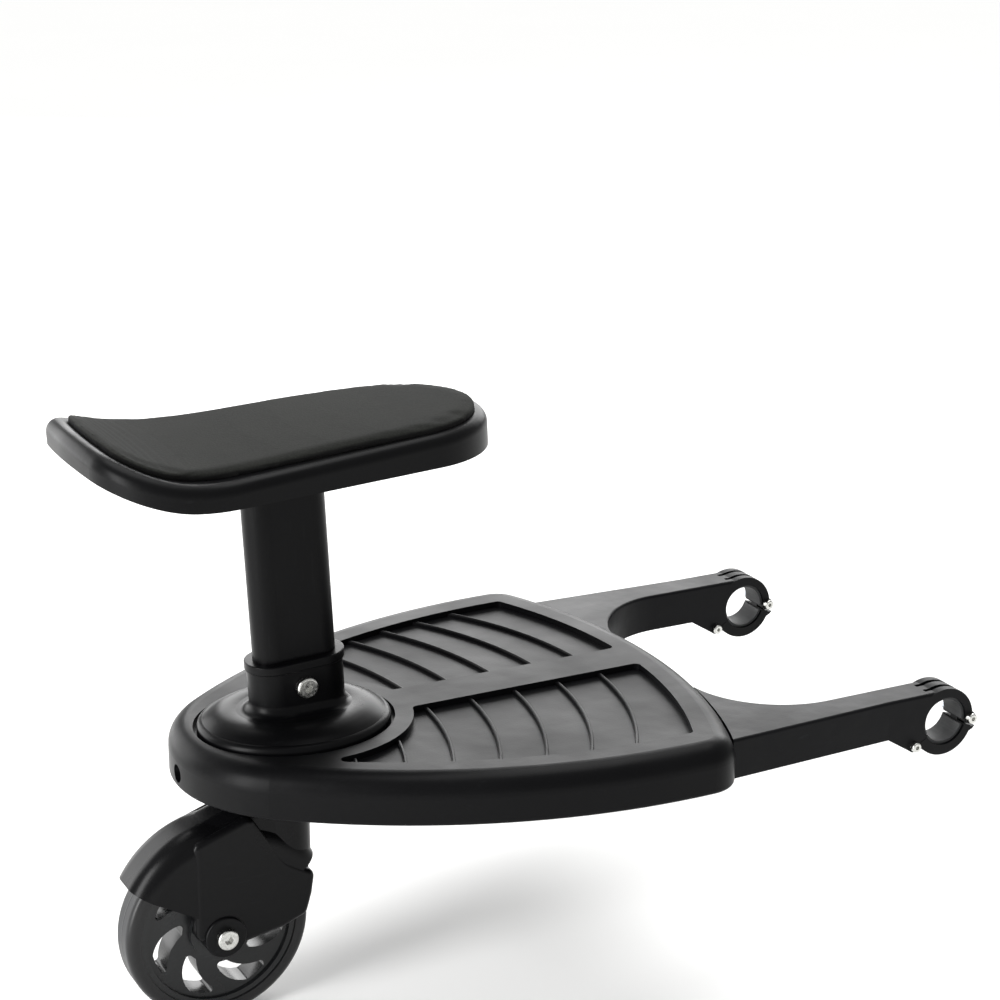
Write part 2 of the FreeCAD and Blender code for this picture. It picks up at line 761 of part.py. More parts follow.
def make_socket():
    edge = prism(ellipse_wire(socket_x, socket_length, socket_width), tread_floor, tread_floor + socket_edge)
    rings = []
    for share in (0.0, 0.5, 1.0):
        shrink = socket_dome * (0.6 + 3.6 * share ** 1.6)
        rise = socket_dome * math.sin(math.radians(90 * share))
        ring = ellipse_wire(socket_x, socket_length - 2 * shrink, socket_width - 2 * shrink)
        ring.translate(Vector(0, 0, tread_floor + socket_edge + rise))
        rings.append(ring)
    edge = edge.makeFillet(socket_edge * 0.5, flat_edges(edge, tread_floor + socket_edge))
    dome = Part.makeLoft(rings, True)
    collar = leaned(post_section(post_gap + collar_wall, 0, collar_height))
    body = fuse([edge, dome, collar])
    crease = [e for e in body.Edges if on_crease(e)]
    body = body.makeFillet(collar_fillet, crease)
    lip = leaned(post_section(post_gap + collar_wall + collar_lip, collar_height - collar_lip_height,
                              collar_height))
    lip = lip.makeFillet(collar_lip * 0.6, [e for e in lip.Edges if e.BoundBox.ZLength < 4])
    bore = leaned(post_section(post_gap, socket_floor, collar_height + 10))
    holes = [bore]
    for x, y in socket_screw_places():
        holes.append(rod(socket_screw_radius + thread_gap, Vector(x, y, 0),
                         Vector(x, y, tread_floor + socket_screw_grip + 0.3)))
    wide = post_width + post_bolt_radius + 10
    holes.append(rod(post_bolt_radius + bolt_gap, lean_point(post_bolt_height, -wide),
                     lean_point(post_bolt_height, wide)))
    return cut(fuse([body, lip]), holes)


def on_crease(edge):
    # where the collar's wall meets the dome
    low = tread_floor + socket_edge
    high = deck_top + collar_height * 0.6
    spare = 2 * collar_wall + 4
    reach = edge.BoundBox
    inside = reach.XLength < post_length + spare and reach.YLength < post_width + spare
    level = reach.ZLength < collar_height * 0.3
    return inside and level and reach.ZMin > low and reach.ZMax < high


def make_post():
    top = saddle_height - saddle_shell
    tube = post_section(0, socket_floor + 0.1, top).cut(post_section(-post_wall, 0, top + 1))
    wide = post_width
    hole = rod(post_bolt_radius + bolt_gap, lean_point(post_bolt_height, -wide),
               lean_point(post_bolt_height, wide))
    return leaned(tube).cut(hole)


def make_plug():
    top = saddle_height - saddle_shell
    plug = post_section(-post_wall - seat_gap, top - plug_height, top)
    holes = [rod(seat_screw_radius + thread_gap, Vector(x, 0, deck_top), Vector(x, 0, deck_top + top + 1))
             for x in seat_screw_places()]
    return leaned(cut(plug, holes))


def seat_screw_places():
    return [post_x + side * seat_screw_spread / 2 for side in (-1, 1)]


def make_seat_screws():
    screws = []
    seat = deck_top + saddle_height - seat_screw_head_height - 0.2
    for x in seat_screw_places():
        screw = socket_screw(seat_screw_radius, seat_screw_length, seat_screw_head_radius,
                             seat_screw_head_height)
        screws.append(leaned(aimed(screw, Vector(x, 0, seat), UP)))
    return screws


def make_post_bolt():
    half = post_width / 2 + post_gap + collar_wall
    length = 2 * half + post_nut_height + 1
    bolt = socket_screw(post_bolt_radius, length, post_head_radius, post_head_height)
    nut = lock_nut(post_bolt_radius, post_nut_across, post_nut_height)
    return (aimed(bolt, lean_point(post_bolt_height, -half), -LEFT),
            aimed(nut, lean_point(post_bolt_height, half), LEFT))


def make_socket_screws():
    screws = []
    seat = deck_ceiling - socket_boss_depth
    length = tread_floor + socket_screw_grip - seat
    for x, y in socket_screw_places():
        screw = socket_screw(socket_screw_radius, length, socket_screw_head_radius, socket_screw_head_height)
        screws.append(aimed(screw, Vector(x, y, seat), -UP))
    return screws


# Saddle, drawn upright about the post and then leaned with it

def saddle_curve(grow, nose_grow):
    corner_y = saddle_rear_width / 2 - saddle_corner_radius
    rear = saddle_rear_radius - saddle_corner_radius
    corner_x = -saddle_rear + saddle_rear_radius - math.sqrt(rear ** 2 - corner_y ** 2)
    corner = Vector(post_x + corner_x, corner_y, 0)
    nose = Vector(post_x + saddle_front - saddle_front_radius, 0, 0)
    way = nose - corner
    corner_radius_now = saddle_corner_radius + grow
    nose_radius = saddle_front_radius + nose_grow
    tilt = math.asin((nose_radius - corner_radius_now) / way.Length)
    way.normalize()
    turn = FreeCAD.Rotation(UP, math.degrees(math.pi / 2 + tilt))
    out = turn.multVec(way)
    rear_centre = Vector(post_x - saddle_rear + saddle_rear_radius, 0, 0)
    back = (corner - rear_centre).normalize()
    side_rear = corner + out * corner_radius_now
    side_front = nose + out * nose_radius
    rear_end = corner + back * corner_radius_now
    rear_tip = Vector(post_x - saddle_rear - grow, 0, 0)
    nose_tip = nose + Vector(nose_radius, 0, 0)
    return Part.Wire([
        Part.Arc(mirrored(rear_end), rear_tip, rear_end).toShape(),
        arc(corner, corner_radius_now, rear_end, side_rear),
        line(side_rear, side_front),
        Part.Arc(side_front, nose_tip, mirrored(side_front)).toShape(),
        line(mirrored(side_front), mirrored(side_rear)),
        arc(mirrored(corner), corner_radius_now, mirrored(side_rear), mirrored(rear_end)),
    ])


def lip_rise(x):
    # how far the saddle has turned up at x, on the arc that ends at the pad's rear edge
    radius = (saddle_lip_length ** 2 + saddle_lip_rise ** 2) / (2 * saddle_lip_rise)
    back = max(0.0, post_x - saddle_rear + saddle_lip_length - x)
    return radius - math.sqrt(radius ** 2 - back ** 2)


def under_saddle(offset):
    # everything below the saddle's seat surface, moved up by offset
    start = post_x - saddle_rear + saddle_lip_length
    end = post_x - saddle_rear - saddle_rim - 4
    middle = (start + end) / 2
    level = deck_top + saddle_height + offset
    wide = saddle_rear_width
    lip = Vector(end, -wide, level + lip_rise(end))
    bend = Vector(middle, -wide, level + lip_rise(middle))
    flat = Vector(start, -wide, level)
    far = Vector(post_x + saddle_front + saddle_rim + 10, -wide, level)
    floor = deck_top + saddle_height / 2
    foot_front, foot_rear = Vector(far.x, -wide, floor), Vector(end, -wide, floor)
    wire = Part.Wire([Part.Arc(lip, bend, flat).toShape(), line(flat, far), line(far, foot_front),
                      line(foot_front, foot_rear), line(foot_rear, lip)])
    return Part.Face(wire).extrude(Vector(0, 2 * wide, 0))


def under_skirt(lift):
    # everything below the saddle's open underside, moved up by lift
    start = post_x - saddle_rear + saddle_lip_length
    end = post_x - saddle_rear - saddle_rim
    far_x = post_x + saddle_front + saddle_rim + 10
    wide = saddle_rear_width
    slope = math.tan(math.radians(saddle_tilt))
    level = deck_top + saddle_height + lift - saddle_depth
    edge = level + slope * (post_x - start)
    rear_edge = deck_top + saddle_height + lift + lip_rise(end) - saddle_rear_depth
    turn = (rear_edge - edge) / (start - end) ** 2
    beyond, middle = end - 4, (start + end - 4) / 2
    tip = Vector(beyond, -wide, edge + turn * (start - beyond) ** 2)
    bend = Vector(middle, -wide, edge + turn * (start - middle) ** 2)
    flat = Vector(start, -wide, edge)
    far = Vector(far_x, -wide, level - slope * (far_x - post_x))
    floor = deck_top + saddle_height / 2
    foot_front, foot_rear = Vector(far_x, -wide, floor), Vector(beyond, -wide, floor)
    wire = Part.Wire([Part.Arc(tip, bend, flat).toShape(), line(flat, far), line(far, foot_front),
                      line(foot_front, foot_rear), line(foot_rear, tip)])
    return Part.Face(wire).extrude(Vector(0, 2 * wide, 0))


def make_shell():
    low, high = deck_top + saddle_height / 2, deck_top + saddle_height + 2 * saddle_lip_rise + 10
    block = prism(saddle_curve(saddle_rim, saddle_nose_rim), low, high)
    block = block.common(under_saddle(0)).cut(under_skirt(0))
    block = block.makeFillet(saddle_edge_round, brim_edges(block, 0))
    inner = prism(saddle_curve(saddle_rim - saddle_shell, saddle_nose_rim - saddle_shell), low, high)
    hollow = inner.common(under_saddle(-saddle_shell)).cut(under_saddle(-saddle_depth * 2))
    hollow = hollow.makeFillet(saddle_edge_round - saddle_shell, brim_edges(hollow, -saddle_shell))
    inside = hollow.cut(under_skirt(3))
    webs = []
    half = saddle_web_thick / 2
    reach = int(max(saddle_rear, saddle_front) / saddle_web_pitch)
    for k in range(-reach, reach + 1):
        x = post_x + k * saddle_web_pitch
        webs.append(box(x - half, x + half, -saddle_rear_width, saddle_rear_width, low, high))
    for k in (-1, 0, 1):
        y = k * saddle_rear_width / 4
        webs.append(box(post_x - saddle_rear * 2, post_x + saddle_front * 2, y - half, y + half, low, high))
    ribs = Part.makeCompound(webs).common(inside)
    top = saddle_height - saddle_shell + 0.5
    sleeve = post_section(post_gap + saddle_collar_wall, saddle_height - saddle_depth, top)
    body = fuse([block.cut(hollow), sleeve] + ribs.Solids)
    holes = [post_section(post_gap, saddle_height / 2, saddle_height - saddle_shell)]
    seat = deck_top + saddle_height
    for x in seat_screw_places():
        holes.append(rod(seat_screw_radius + bolt_gap, Vector(x, 0, deck_top), Vector(x, 0, seat + 1)))
        holes.append(rod(seat_screw_head_radius + bolt_gap,
                         Vector(x, 0, seat - seat_screw_head_height - 0.2), Vector(x, 0, seat + 1)))
    return leaned(cut(body, holes))


def rim_height(edge):
    # height of an edge's middle above the seat surface there
    middle = edge.valueAt((edge.FirstParameter + edge.LastParameter) / 2)
    return middle.z - (deck_top + saddle_height + lip_rise(middle.x))


def brim_edges(shape, height):
    # the edges round the top of the saddle or its pad, without the line where the lip starts
    brim = [e for e in shape.Edges if abs(rim_height(e) - height) < pad_thick / 2]
    lip_x = post_x - saddle_rear + saddle_lip_length
    return [e for e in brim if not upright(e) and abs(e.BoundBox.Center.x - lip_x) > 0.1]


def upright(edge):
    return edge.BoundBox.XLength < 0.5 and edge.BoundBox.YLength < 0.5


def make_pad():
    low, high = deck_top + saddle_height / 2, deck_top + saddle_height + 2 * saddle_lip_rise + 10
    block = prism(saddle_curve(0, 0), low, high).cut(under_saddle(0))
    wide = saddle_rear_width / 2 + 10
    lip_places = [-saddle_rear + saddle_lip_length * share for share in (0.25, 0.6, 1.0)]
    places = [-saddle_rear - 10] + lip_places + [0, saddle_front * 0.5, saddle_front + 10]
    sections = []
    for place in places:
        x = post_x + place
        level = deck_top + saddle_height + pad_thick + lip_rise(x)
        left, right = Vector(x, wide, level - pad_crown), Vector(x, -wide, level - pad_crown)
        foot_left, foot_right = Vector(x, wide, low), Vector(x, -wide, low)
        crown = Part.Arc(right, Vector(x, 0, level), left).toShape()
        sections.append(Part.Wire([crown, line(left, foot_left), line(foot_left, foot_right),
                                   line(foot_right, right)]))
    crowned = Part.makeLoft(sections, True)
    pad = block.common(crowned)
    pad = pad.makeFillet(pad_edge_round, brim_edges(pad, pad_thick))
    return leaned(pad)


# Castor. Points are given ahead of and above the axle.

def at_axle(x, z, y=0.0):
    return Vector(axle_x + x, y, axle_z + z)


def across_axle(radius, y0, y1, x=0.0, z=0.0):
    return rod(radius, at_axle(x, z, y0), at_axle(x, z, y1))


def axle_polygon(corners, y0, y1):
    return side_prism([(axle_x + x, axle_z + z) for x, z in corners], y0, y1)


def swivel_levels():
    # heights down the swivel bolt: under the deck, then each piece in turn
    top_bearing = deck_bottom - swivel_gap - swivel_washer_thick * 0.2
    spacer = top_bearing - swivel_bearing_width
    low_bearing = spacer - swivel_spacer_length
    low_washer = low_bearing - swivel_bearing_width
    nut = low_washer - swivel_washer_thick
    return {"washer": deck_bottom, "top_bearing": top_bearing, "spacer": spacer,
            "low_bearing": low_bearing, "low_washer": low_washer, "nut": nut}


def on_swivel(z):
    return Vector(swivel_x, 0, z)


def leg_outline():
    # the legs seen from the side: a back, a sloping shoulder, and a toe that reaches forward
    toe = swivel_trail + hub_radius - 4
    shoulder = crown_height - crown_step
    peak = swivel_trail * 0.42
    climb = (peak + leg_rear) * math.tan(math.radians(crown_slope))
    return [(-leg_rear, 0), (-leg_rear, shoulder), (peak, shoulder + climb),
            (swivel_trail * 0.9, fender_outer * 0.6), (toe, fender_outer * 0.43),
            (toe - 2.5, fender_outer * 0.22), (toe - 6.5, fender_outer * 0.04),
            (swivel_trail * 0.86, -axle_boss_radius * 0.25),
            (axle_boss_radius * 0.85, -axle_boss_radius * 0.6)]


def make_fork():
    levels = swivel_levels()
    sweep = fender_rear_angle - fender_front_angle
    spread = [polar(2 * fender_outer, fender_front_angle + sweep * k / 12) for k in range(13)]
    cap = [(fender_ahead + x, fender_lift + z) for x, z in [(0, 0)] + spread]
    fender = across_axle(fender_outer, -skirt_outer, skirt_outer, fender_ahead, fender_lift)
    rims = [e for e in fender.Edges if e.BoundBox.YLength < 0.01]
    fender = fender.makeFillet(min(fender_round, skirt_outer * 0.9), rims)
    fender = fender.common(axle_polygon(cap, -skirt_outer - 1, skirt_outer + 1))
    hub = rod(hub_radius, on_swivel(hub_top), on_swivel(axle_z + fender_inner * 0.4))
    climb = (swivel_trail + crown_start) * math.tan(math.radians(crown_slope))
    crown = axle_polygon([(-crown_start, crown_height * 0.7), (-crown_start, crown_height),
                          (swivel_trail, crown_height + climb), (swivel_trail, crown_height * 0.7)],
                         -crown_width / 2, crown_width / 2)
    sloping = [e for e in crown.Edges if e.BoundBox.XLength > 1 and e.BoundBox.ZLength > 1]
    crown = crown.makeFillet(crown_round, sloping)
    legs = axle_polygon(leg_outline(), -cheek_outer, cheek_outer)
    instep = at_axle(swivel_trail * 0.9, fender_outer * 0.6)
    bend = min(crosswise_edges(legs), key=lambda e: e.CenterOfMass.distanceToPoint(instep))
    corners = [e for e in crosswise_edges(legs) if not e.isSame(bend)]
    legs = legs.makeFillet(leg_corner_round, corners)
    bend = min(crosswise_edges(legs), key=lambda e: e.CenterOfMass.distanceToPoint(instep))
    legs = legs.makeFillet(leg_shoulder_round, [bend])
    faces = side_edges(legs, -cheek_outer) + side_edges(legs, cheek_outer)
    legs = legs.makeFillet(leg_edge_round, faces)
    bosses = []
    for way in (-1, 1):
        boss = across_axle(axle_boss_radius, way * cheek_inner, way * boss_outer)
        bosses.append(boss.makeFillet(axle_boss_proud * 0.7, side_edges(boss, way * boss_outer)))
    body = fuse([fender, hub, crown, legs] + bosses)
    seat = swivel_bearing_radius + seat_gap
    tools = [across_axle(fender_inner, -cheek_inner, cheek_inner, fender_ahead, fender_lift),
             across_axle(axle_radius + bolt_gap, -boss_outer - 1, boss_outer + 1),
             rod(swivel_sleeve_radius + side_gap, on_swivel(hub_top + 1), on_swivel(axle_z)),
             rod(seat, on_swivel(hub_top + 1), on_swivel(levels["spacer"])),
             rod(seat, on_swivel(levels["low_bearing"]), on_swivel(axle_z))]
    return cut(body, tools)


def make_swivel():
    levels = swivel_levels()
    bore = swivel_bolt_radius + running_gap
    sleeve_bore = swivel_bolt_radius + seat_gap
    head = tread_floor - swivel_head_height
    length = head - levels["nut"] + swivel_nut_height + 1
    bolt = hex_bolt(swivel_bolt_radius, length, swivel_head_across, swivel_head_height - 0.1)
    ring = bearing(swivel_bearing_radius, bore, swivel_bearing_width - 0.2)
    rings = [aimed(ring, on_swivel(levels[place] + 0.1), UP) for place in ("spacer", "low_washer")]
    high_washer = pipe(swivel_sleeve_radius, sleeve_bore, on_swivel(levels["top_bearing"] + 0.1),
                       on_swivel(levels["washer"]))
    low_washer = pipe(swivel_head_across / 2, sleeve_bore, on_swivel(levels["nut"]),
                      on_swivel(levels["low_washer"] - 0.1))
    sleeve = pipe(swivel_sleeve_radius, sleeve_bore, on_swivel(levels["low_bearing"] + 0.1),
                  on_swivel(levels["spacer"] - 0.1))
    nut = lock_nut(swivel_bolt_radius, swivel_head_across, swivel_nut_height)
    return {
        "swivel_bolt": [aimed(bolt, on_swivel(head), UP)],
        "swivel_washers": [high_washer, low_washer],
        "swivel_bearings": rings,
        "swivel_spacer": [sleeve],
        "swivel_nut": [aimed(nut, on_swivel(levels["nut"]), -UP)],
    }


def wheel_opening(angle, half):
    def corner(radius, turn):
        x, z = polar(radius, angle + turn)
        return at_axle(x, z, -half)
    middle = (opening_inner_radius + opening_outer_radius) / 2
    outer_middle = opening_sweep + opening_outer_angle / 2
    lead = corner(opening_inner_radius, 0)
    lead_end = corner(opening_outer_radius, opening_sweep)
    trail_end = corner(opening_outer_radius, opening_sweep + opening_outer_angle)
    trail = corner(opening_inner_radius, opening_inner_angle)
    wire = Part.Wire([
        Part.Arc(lead, corner(middle, opening_sweep * 0.36), lead_end).toShape(),
        Part.Arc(lead_end, corner(opening_outer_radius, outer_middle), trail_end).toShape(),
        Part.Arc(trail_end, corner(middle, opening_inner_angle + opening_sweep * 0.64), trail).toShape(),
        Part.Arc(trail, corner(opening_inner_radius, opening_inner_angle / 2), lead).toShape(),
    ])
    hole = Part.Face(wire).extrude(Vector(0, 2 * half, 0))
    return hole.makeFillet(opening_round, crosswise_edges(hole))


def make_wheel():
    half = tyre_width / 2
    rim_half, web_half, hub_half = half - rim_inset, half - web_inset, wheel_hub_width / 2
    web = across_axle(rim_outer - 1, -web_half, web_half)
    rim = across_axle(rim_outer - seat_gap, -rim_half, rim_half).cut(
        across_axle(rim_outer - rim_depth, -rim_half - 1, rim_half + 1))
    hub = across_axle(wheel_hub_radius, -hub_half, hub_half)
    core = fuse([web, rim, hub])
    turns = [opening_start + 360 / opening_count * k for k in range(opening_count)]
    holes = [wheel_opening(turn, half) for turn in turns]
    seat = wheel_bearing_radius + seat_gap
    shoulder = hub_half - wheel_bearing_width
    holes += [across_axle(axle_sleeve_radius + side_gap, -half * 2, half * 2),
              across_axle(seat, shoulder, half * 2), across_axle(seat, -half * 2, -shoulder)]
    core = cut(core, holes)
    tyre = across_axle(wheel_diameter / 2, -half, half)
    shoulders = [e for e in tyre.Edges if e.BoundBox.YLength < 0.01]
    tyre = tyre.makeFillet(tyre_round, shoulders)
    tyre = tyre.cut(across_axle(rim_outer, -half - 1, half + 1))
    ring = bearing(wheel_bearing_radius, axle_radius + running_gap, wheel_bearing_width)
    bearings = [aimed(ring, at_axle(0, 0, shoulder), LEFT), aimed(ring, at_axle(0, 0, -shoulder), -LEFT)]
    return core, tyre, bearings


def make_axle():
    hub_half = wheel_hub_width / 2
    shoulder = hub_half - wheel_bearing_width
    length = 2 * boss_outer + axle_nut_height + 1
    bolt = socket_screw(axle_radius, length, axle_head_radius, axle_head_height)
    nut = lock_nut(axle_radius, axle_nut_across, axle_nut_height)
    bore = axle_radius + seat_gap
    spacers = [pipe(axle_sleeve_radius, bore, at_axle(0, 0, way * (hub_half + 0.1)),
                    at_axle(0, 0, way * cheek_inner)) for way in (-1, 1)]
    sleeve = pipe(axle_sleeve_radius, bore, at_axle(0, 0, -shoulder + 0.1),
                  at_axle(0, 0, shoulder - 0.1))
    return {
        "axle_bolt": [aimed(bolt, at_axle(0, 0, -boss_outer), -LEFT)],
        "axle_nut": [aimed(nut, at_axle(0, 0, boss_outer), LEFT)],
        "axle_spacers": spacers,
        "bearing_spacer": [sleeve],
    }


# The whole board

def make_nodes():
    arm_y = arm_spacing / 2
    left_arm, left_jaw = make_arm(arm_y), make_jaw(arm_y)
    upper = make_liner(arm_y, -jaw_front_angle * 0.4, 360 - jaw_rear_angle - 3)
    lower = make_liner(arm_y, -jaw_rear_angle + 4, -jaw_front_angle - 4)
    lock_screws, lock_nuts = clamp_screws(lock_reach, -lock_drop)
    hinge_screws, hinge_nuts = clamp_screws(-hinge_reach, -hinge_drop)
    post_bolt, post_nut = make_post_bolt()
    core, tyre, bearings = make_wheel()
    nodes = {
        "deck": [make_deck()],
        "left_arm": [left_arm],
        "right_arm": [mirror(left_arm)],
        "arm_bolts": make_arm_bolts(),
        "left_jaw": [left_jaw],
        "right_jaw": [mirror(left_jaw)],
        "left_upper_liner": [upper],
        "right_upper_liner": [mirror(upper)],
        "left_lower_liner": [lower],
        "right_lower_liner": [mirror(lower)],
        "jaw_lock_screws": lock_screws,
        "jaw_hinge_screws": hinge_screws,
        "jaw_screw_nuts": lock_nuts + hinge_nuts,
        "seat_socket": [make_socket()],
        "socket_screws": make_socket_screws(),
        "seat_post": [make_post()],
        "post_bolt": [post_bolt],
        "post_nut": [post_nut],
        "post_plug": [make_plug()],
        "seat_shell": [make_shell()],
        "seat_screws": make_seat_screws(),
        "seat_pad": [make_pad()],
        "fork": [make_fork()],
        "wheel_core": [core],
        "tyre": [tyre],
        "wheel_bearings": bearings,
    }
    nodes.update(make_swivel())
    nodes.update(make_axle())
    return nodes


nodes = make_nodes()
extent = Part.makeCompound([s for shapes in nodes.values() for s in shapes]).optimalBoundingBox()
middle_x = (extent.XMin + extent.XMax) / 2
os.makedirs("parts", exist_ok=True)
for name, shapes in nodes.items():
    solids = [solid for shape in shapes for solid in shape.Solids]
    node = solids[0] if len(solids) == 1 else Part.makeCompound(solids)
    node.translate(Vector(-middle_x, 0, 0))
    node.exportStep("parts/" + name + ".step")
    print(name, len(solids), "solids", round(node.Volume), "mm3", "valid" if node.isValid() else "not valid")
print("bore axis at x", round(-middle_x, 3), "swivel at x", round(swivel_x - middle_x, 3))
print("axle at x", round(axle_x - middle_x, 3), "z", round(axle_z, 3), "bore z", round(bore_z, 3))
print("size", round(extent.XLength, 1), round(extent.YLength, 1), round(extent.ZLength, 1))
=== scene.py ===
import json
import math

import bmesh
import bpy
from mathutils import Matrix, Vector

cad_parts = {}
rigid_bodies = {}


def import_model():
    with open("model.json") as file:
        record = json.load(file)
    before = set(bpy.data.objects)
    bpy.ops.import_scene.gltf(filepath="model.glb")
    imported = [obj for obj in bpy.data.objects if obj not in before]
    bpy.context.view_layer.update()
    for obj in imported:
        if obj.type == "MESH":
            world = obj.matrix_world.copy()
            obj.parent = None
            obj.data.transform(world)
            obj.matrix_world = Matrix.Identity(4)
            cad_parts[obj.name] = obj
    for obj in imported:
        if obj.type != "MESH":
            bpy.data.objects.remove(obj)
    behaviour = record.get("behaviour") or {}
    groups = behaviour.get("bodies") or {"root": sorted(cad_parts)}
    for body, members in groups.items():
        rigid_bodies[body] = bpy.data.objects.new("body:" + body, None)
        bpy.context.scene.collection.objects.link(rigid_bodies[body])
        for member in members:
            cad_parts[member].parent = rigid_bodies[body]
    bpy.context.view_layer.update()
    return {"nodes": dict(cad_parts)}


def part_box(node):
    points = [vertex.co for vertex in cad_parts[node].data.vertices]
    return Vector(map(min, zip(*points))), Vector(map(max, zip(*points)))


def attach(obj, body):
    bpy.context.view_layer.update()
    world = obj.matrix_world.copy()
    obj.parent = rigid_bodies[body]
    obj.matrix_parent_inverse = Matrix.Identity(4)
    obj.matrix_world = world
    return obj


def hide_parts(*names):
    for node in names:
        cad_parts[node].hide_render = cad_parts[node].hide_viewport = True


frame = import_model()
solids = frame["nodes"]


# Deck: the platform a child stands on, one injection moulding in black polypropylene with
# a rolled rim, two sunk treads and a ribbed underside. Everything else is fixed to it.

def linear(colour):
    # an sRGB hex value as the linear colour that the shaders take
    parts = [int(colour[k:k + 2], 16) / 255 for k in (1, 3, 5)]
    return [p / 12.92 if p <= 0.04045 else ((p + 0.055) / 1.055) ** 2.4 for p in parts] + [1.0]


def put(tree, kind, inputs=None, **settings):
    # adds a node: settings are its own, inputs are values or sockets that feed it
    node = tree.nodes.new(kind)
    for key, value in settings.items():
        setattr(node, key, value)
    for key, value in (inputs or {}).items():
        if isinstance(value, bpy.types.NodeSocket):
            tree.links.new(value, node.inputs[key])
        else:
            node.inputs[key].default_value = value
    return node


def new_finish(name):
    finish = bpy.data.materials.new(name)
    finish.use_nodes = True
    finish.node_tree.nodes.clear()
    return finish, finish.node_tree


def dress(finish, *names):
    for name in names:
        for place in solids[name].material_slots:
            place.material = finish


def black_moulding(name, fresh, rubbed, gloss, grain_mm, grain_depth_mm, sink_mm, sink_depth_mm, shine):
    # Carbon-black plastic from a steel mould: a fine eroded grain softens its shine, thick
    # places sink a little so that reflections wander, and handling leaves paler dry scuffs.
    cloud_mm = 85
    scratch_mm = 2.4
    finish, tree = new_finish(name)
    place = put(tree, "ShaderNodeTexCoord").outputs["Object"]
    grain = put(tree, "ShaderNodeTexNoise", {"Vector": place, "Scale": 1000 / grain_mm, "Detail": 2.0})
    sink = put(tree, "ShaderNodeTexNoise", {"Vector": place, "Scale": 1000 / sink_mm, "Detail": 1.5})
    cloud = put(tree, "ShaderNodeTexNoise", {"Vector": place, "Scale": 1000 / cloud_mm, "Detail": 3.0})
    along = put(tree, "ShaderNodeMapping", {"Vector": place, "Rotation": (0, 0, 0.5), "Scale": (0.16, 1, 1)})
    scratch = put(tree, "ShaderNodeTexNoise", {"Vector": along.outputs[0], "Scale": 1000 / scratch_mm,
                                               "Detail": 4.0})
    scuff = put(tree, "ShaderNodeMapRange", {"Value": scratch.outputs["Fac"],
                                             "From Min": 0.62, "From Max": 0.78})
    patch = put(tree, "ShaderNodeMapRange", {"Value": cloud.outputs["Fac"],
                                             "From Min": 0.5, "From Max": 0.72})
    wear = put(tree, "ShaderNodeMath", {0: scuff.outputs[0], 1: patch.outputs[0]}, operation="MULTIPLY")
    speck = put(tree, "ShaderNodeMath", {0: grain.outputs["Fac"], 1: 0.35}, operation="MULTIPLY")
    mottle = put(tree, "ShaderNodeMath", {0: cloud.outputs["Fac"], 1: speck.outputs[0]}, operation="MULTIPLY")
    amount = put(tree, "ShaderNodeMath", {0: mottle.outputs[0], 1: wear.outputs[0]}, operation="ADD",
                 use_clamp=True)
    colour = put(tree, "ShaderNodeMix", {"Factor": amount.outputs[0], "A": linear(fresh),
                                         "B": linear(rubbed)}, data_type="RGBA")
    dull = put(tree, "ShaderNodeMapRange", {"Value": cloud.outputs["Fac"], "From Min": 0.3, "From Max": 0.7,
                                            "To Min": gloss - 0.06, "To Max": gloss + 0.08})
    rough = put(tree, "ShaderNodeMath", {0: wear.outputs[0], 1: 0.12, 2: dull.outputs[0]},
                operation="MULTIPLY_ADD", use_clamp=True)
    waves = put(tree, "ShaderNodeBump", {"Height": sink.outputs["Fac"], "Strength": 1.0,
                                         "Distance": sink_depth_mm / 1000})
    bumps = put(tree, "ShaderNodeBump", {"Height": grain.outputs["Fac"], "Strength": 1.0,
                                         "Distance": grain_depth_mm / 1000, "Normal": waves.outputs[0]})
    plastic = put(tree, "ShaderNodeBsdfPrincipled", {
        "Base Color": colour.outputs["Result"], "Roughness": rough.outputs[0], "Normal": bumps.outputs[0],
        "IOR": 1.49, "Specular IOR Level": shine})
    put(tree, "ShaderNodeOutputMaterial", {"Surface": plastic.outputs[0]})
    return finish


# The grain of a real deck is about 0.3 mm, drawn at 1.5 mm so that it shows in the picture.
deck_finish = black_moulding("polypropylene_grained_black", "#070708", "#191a1c", gloss=0.38, grain_mm=1.5,
                             grain_depth_mm=0.03, sink_mm=24, sink_depth_mm=0.4, shine=0.1)
dress(deck_finish, "deck")


# Tread ribs: seven low curved ribs cross each tread and stop a shoe from sliding. They are
# part of the deck's moulding, and the mould leaves each crest rounded.

deck_front = 0.12235
tread_floor = 0.1886
tread_side_radius = 0.4085
tread_side_centre = (deck_front - 0.058, -0.274)
tread_front_radius = 0.3285
tread_front_centre = deck_front - 0.355
socket_centre = -0.14865
socket_clear_along, socket_clear_across = 0.0795, 0.072
spine_half_width = 0.0172
rib_count = 7
rib_pitch = 0.0324
first_rib_back = 0.055
rib_rise = 0.002
rib_bow = 0.245
crest_radius = 0.00112
crest_sink = 0.0003
trace_step = 0.0016
trace_count = 90


def on_tread(x, y):
    side = math.hypot(x - tread_side_centre[0], y - tread_side_centre[1]) < tread_side_radius
    front = math.hypot(x - tread_front_centre, y) < tread_front_radius
    clear = math.hypot((x - socket_centre) / socket_clear_along, y / socket_clear_across) > 1
    return side and front and clear and y > spine_half_width


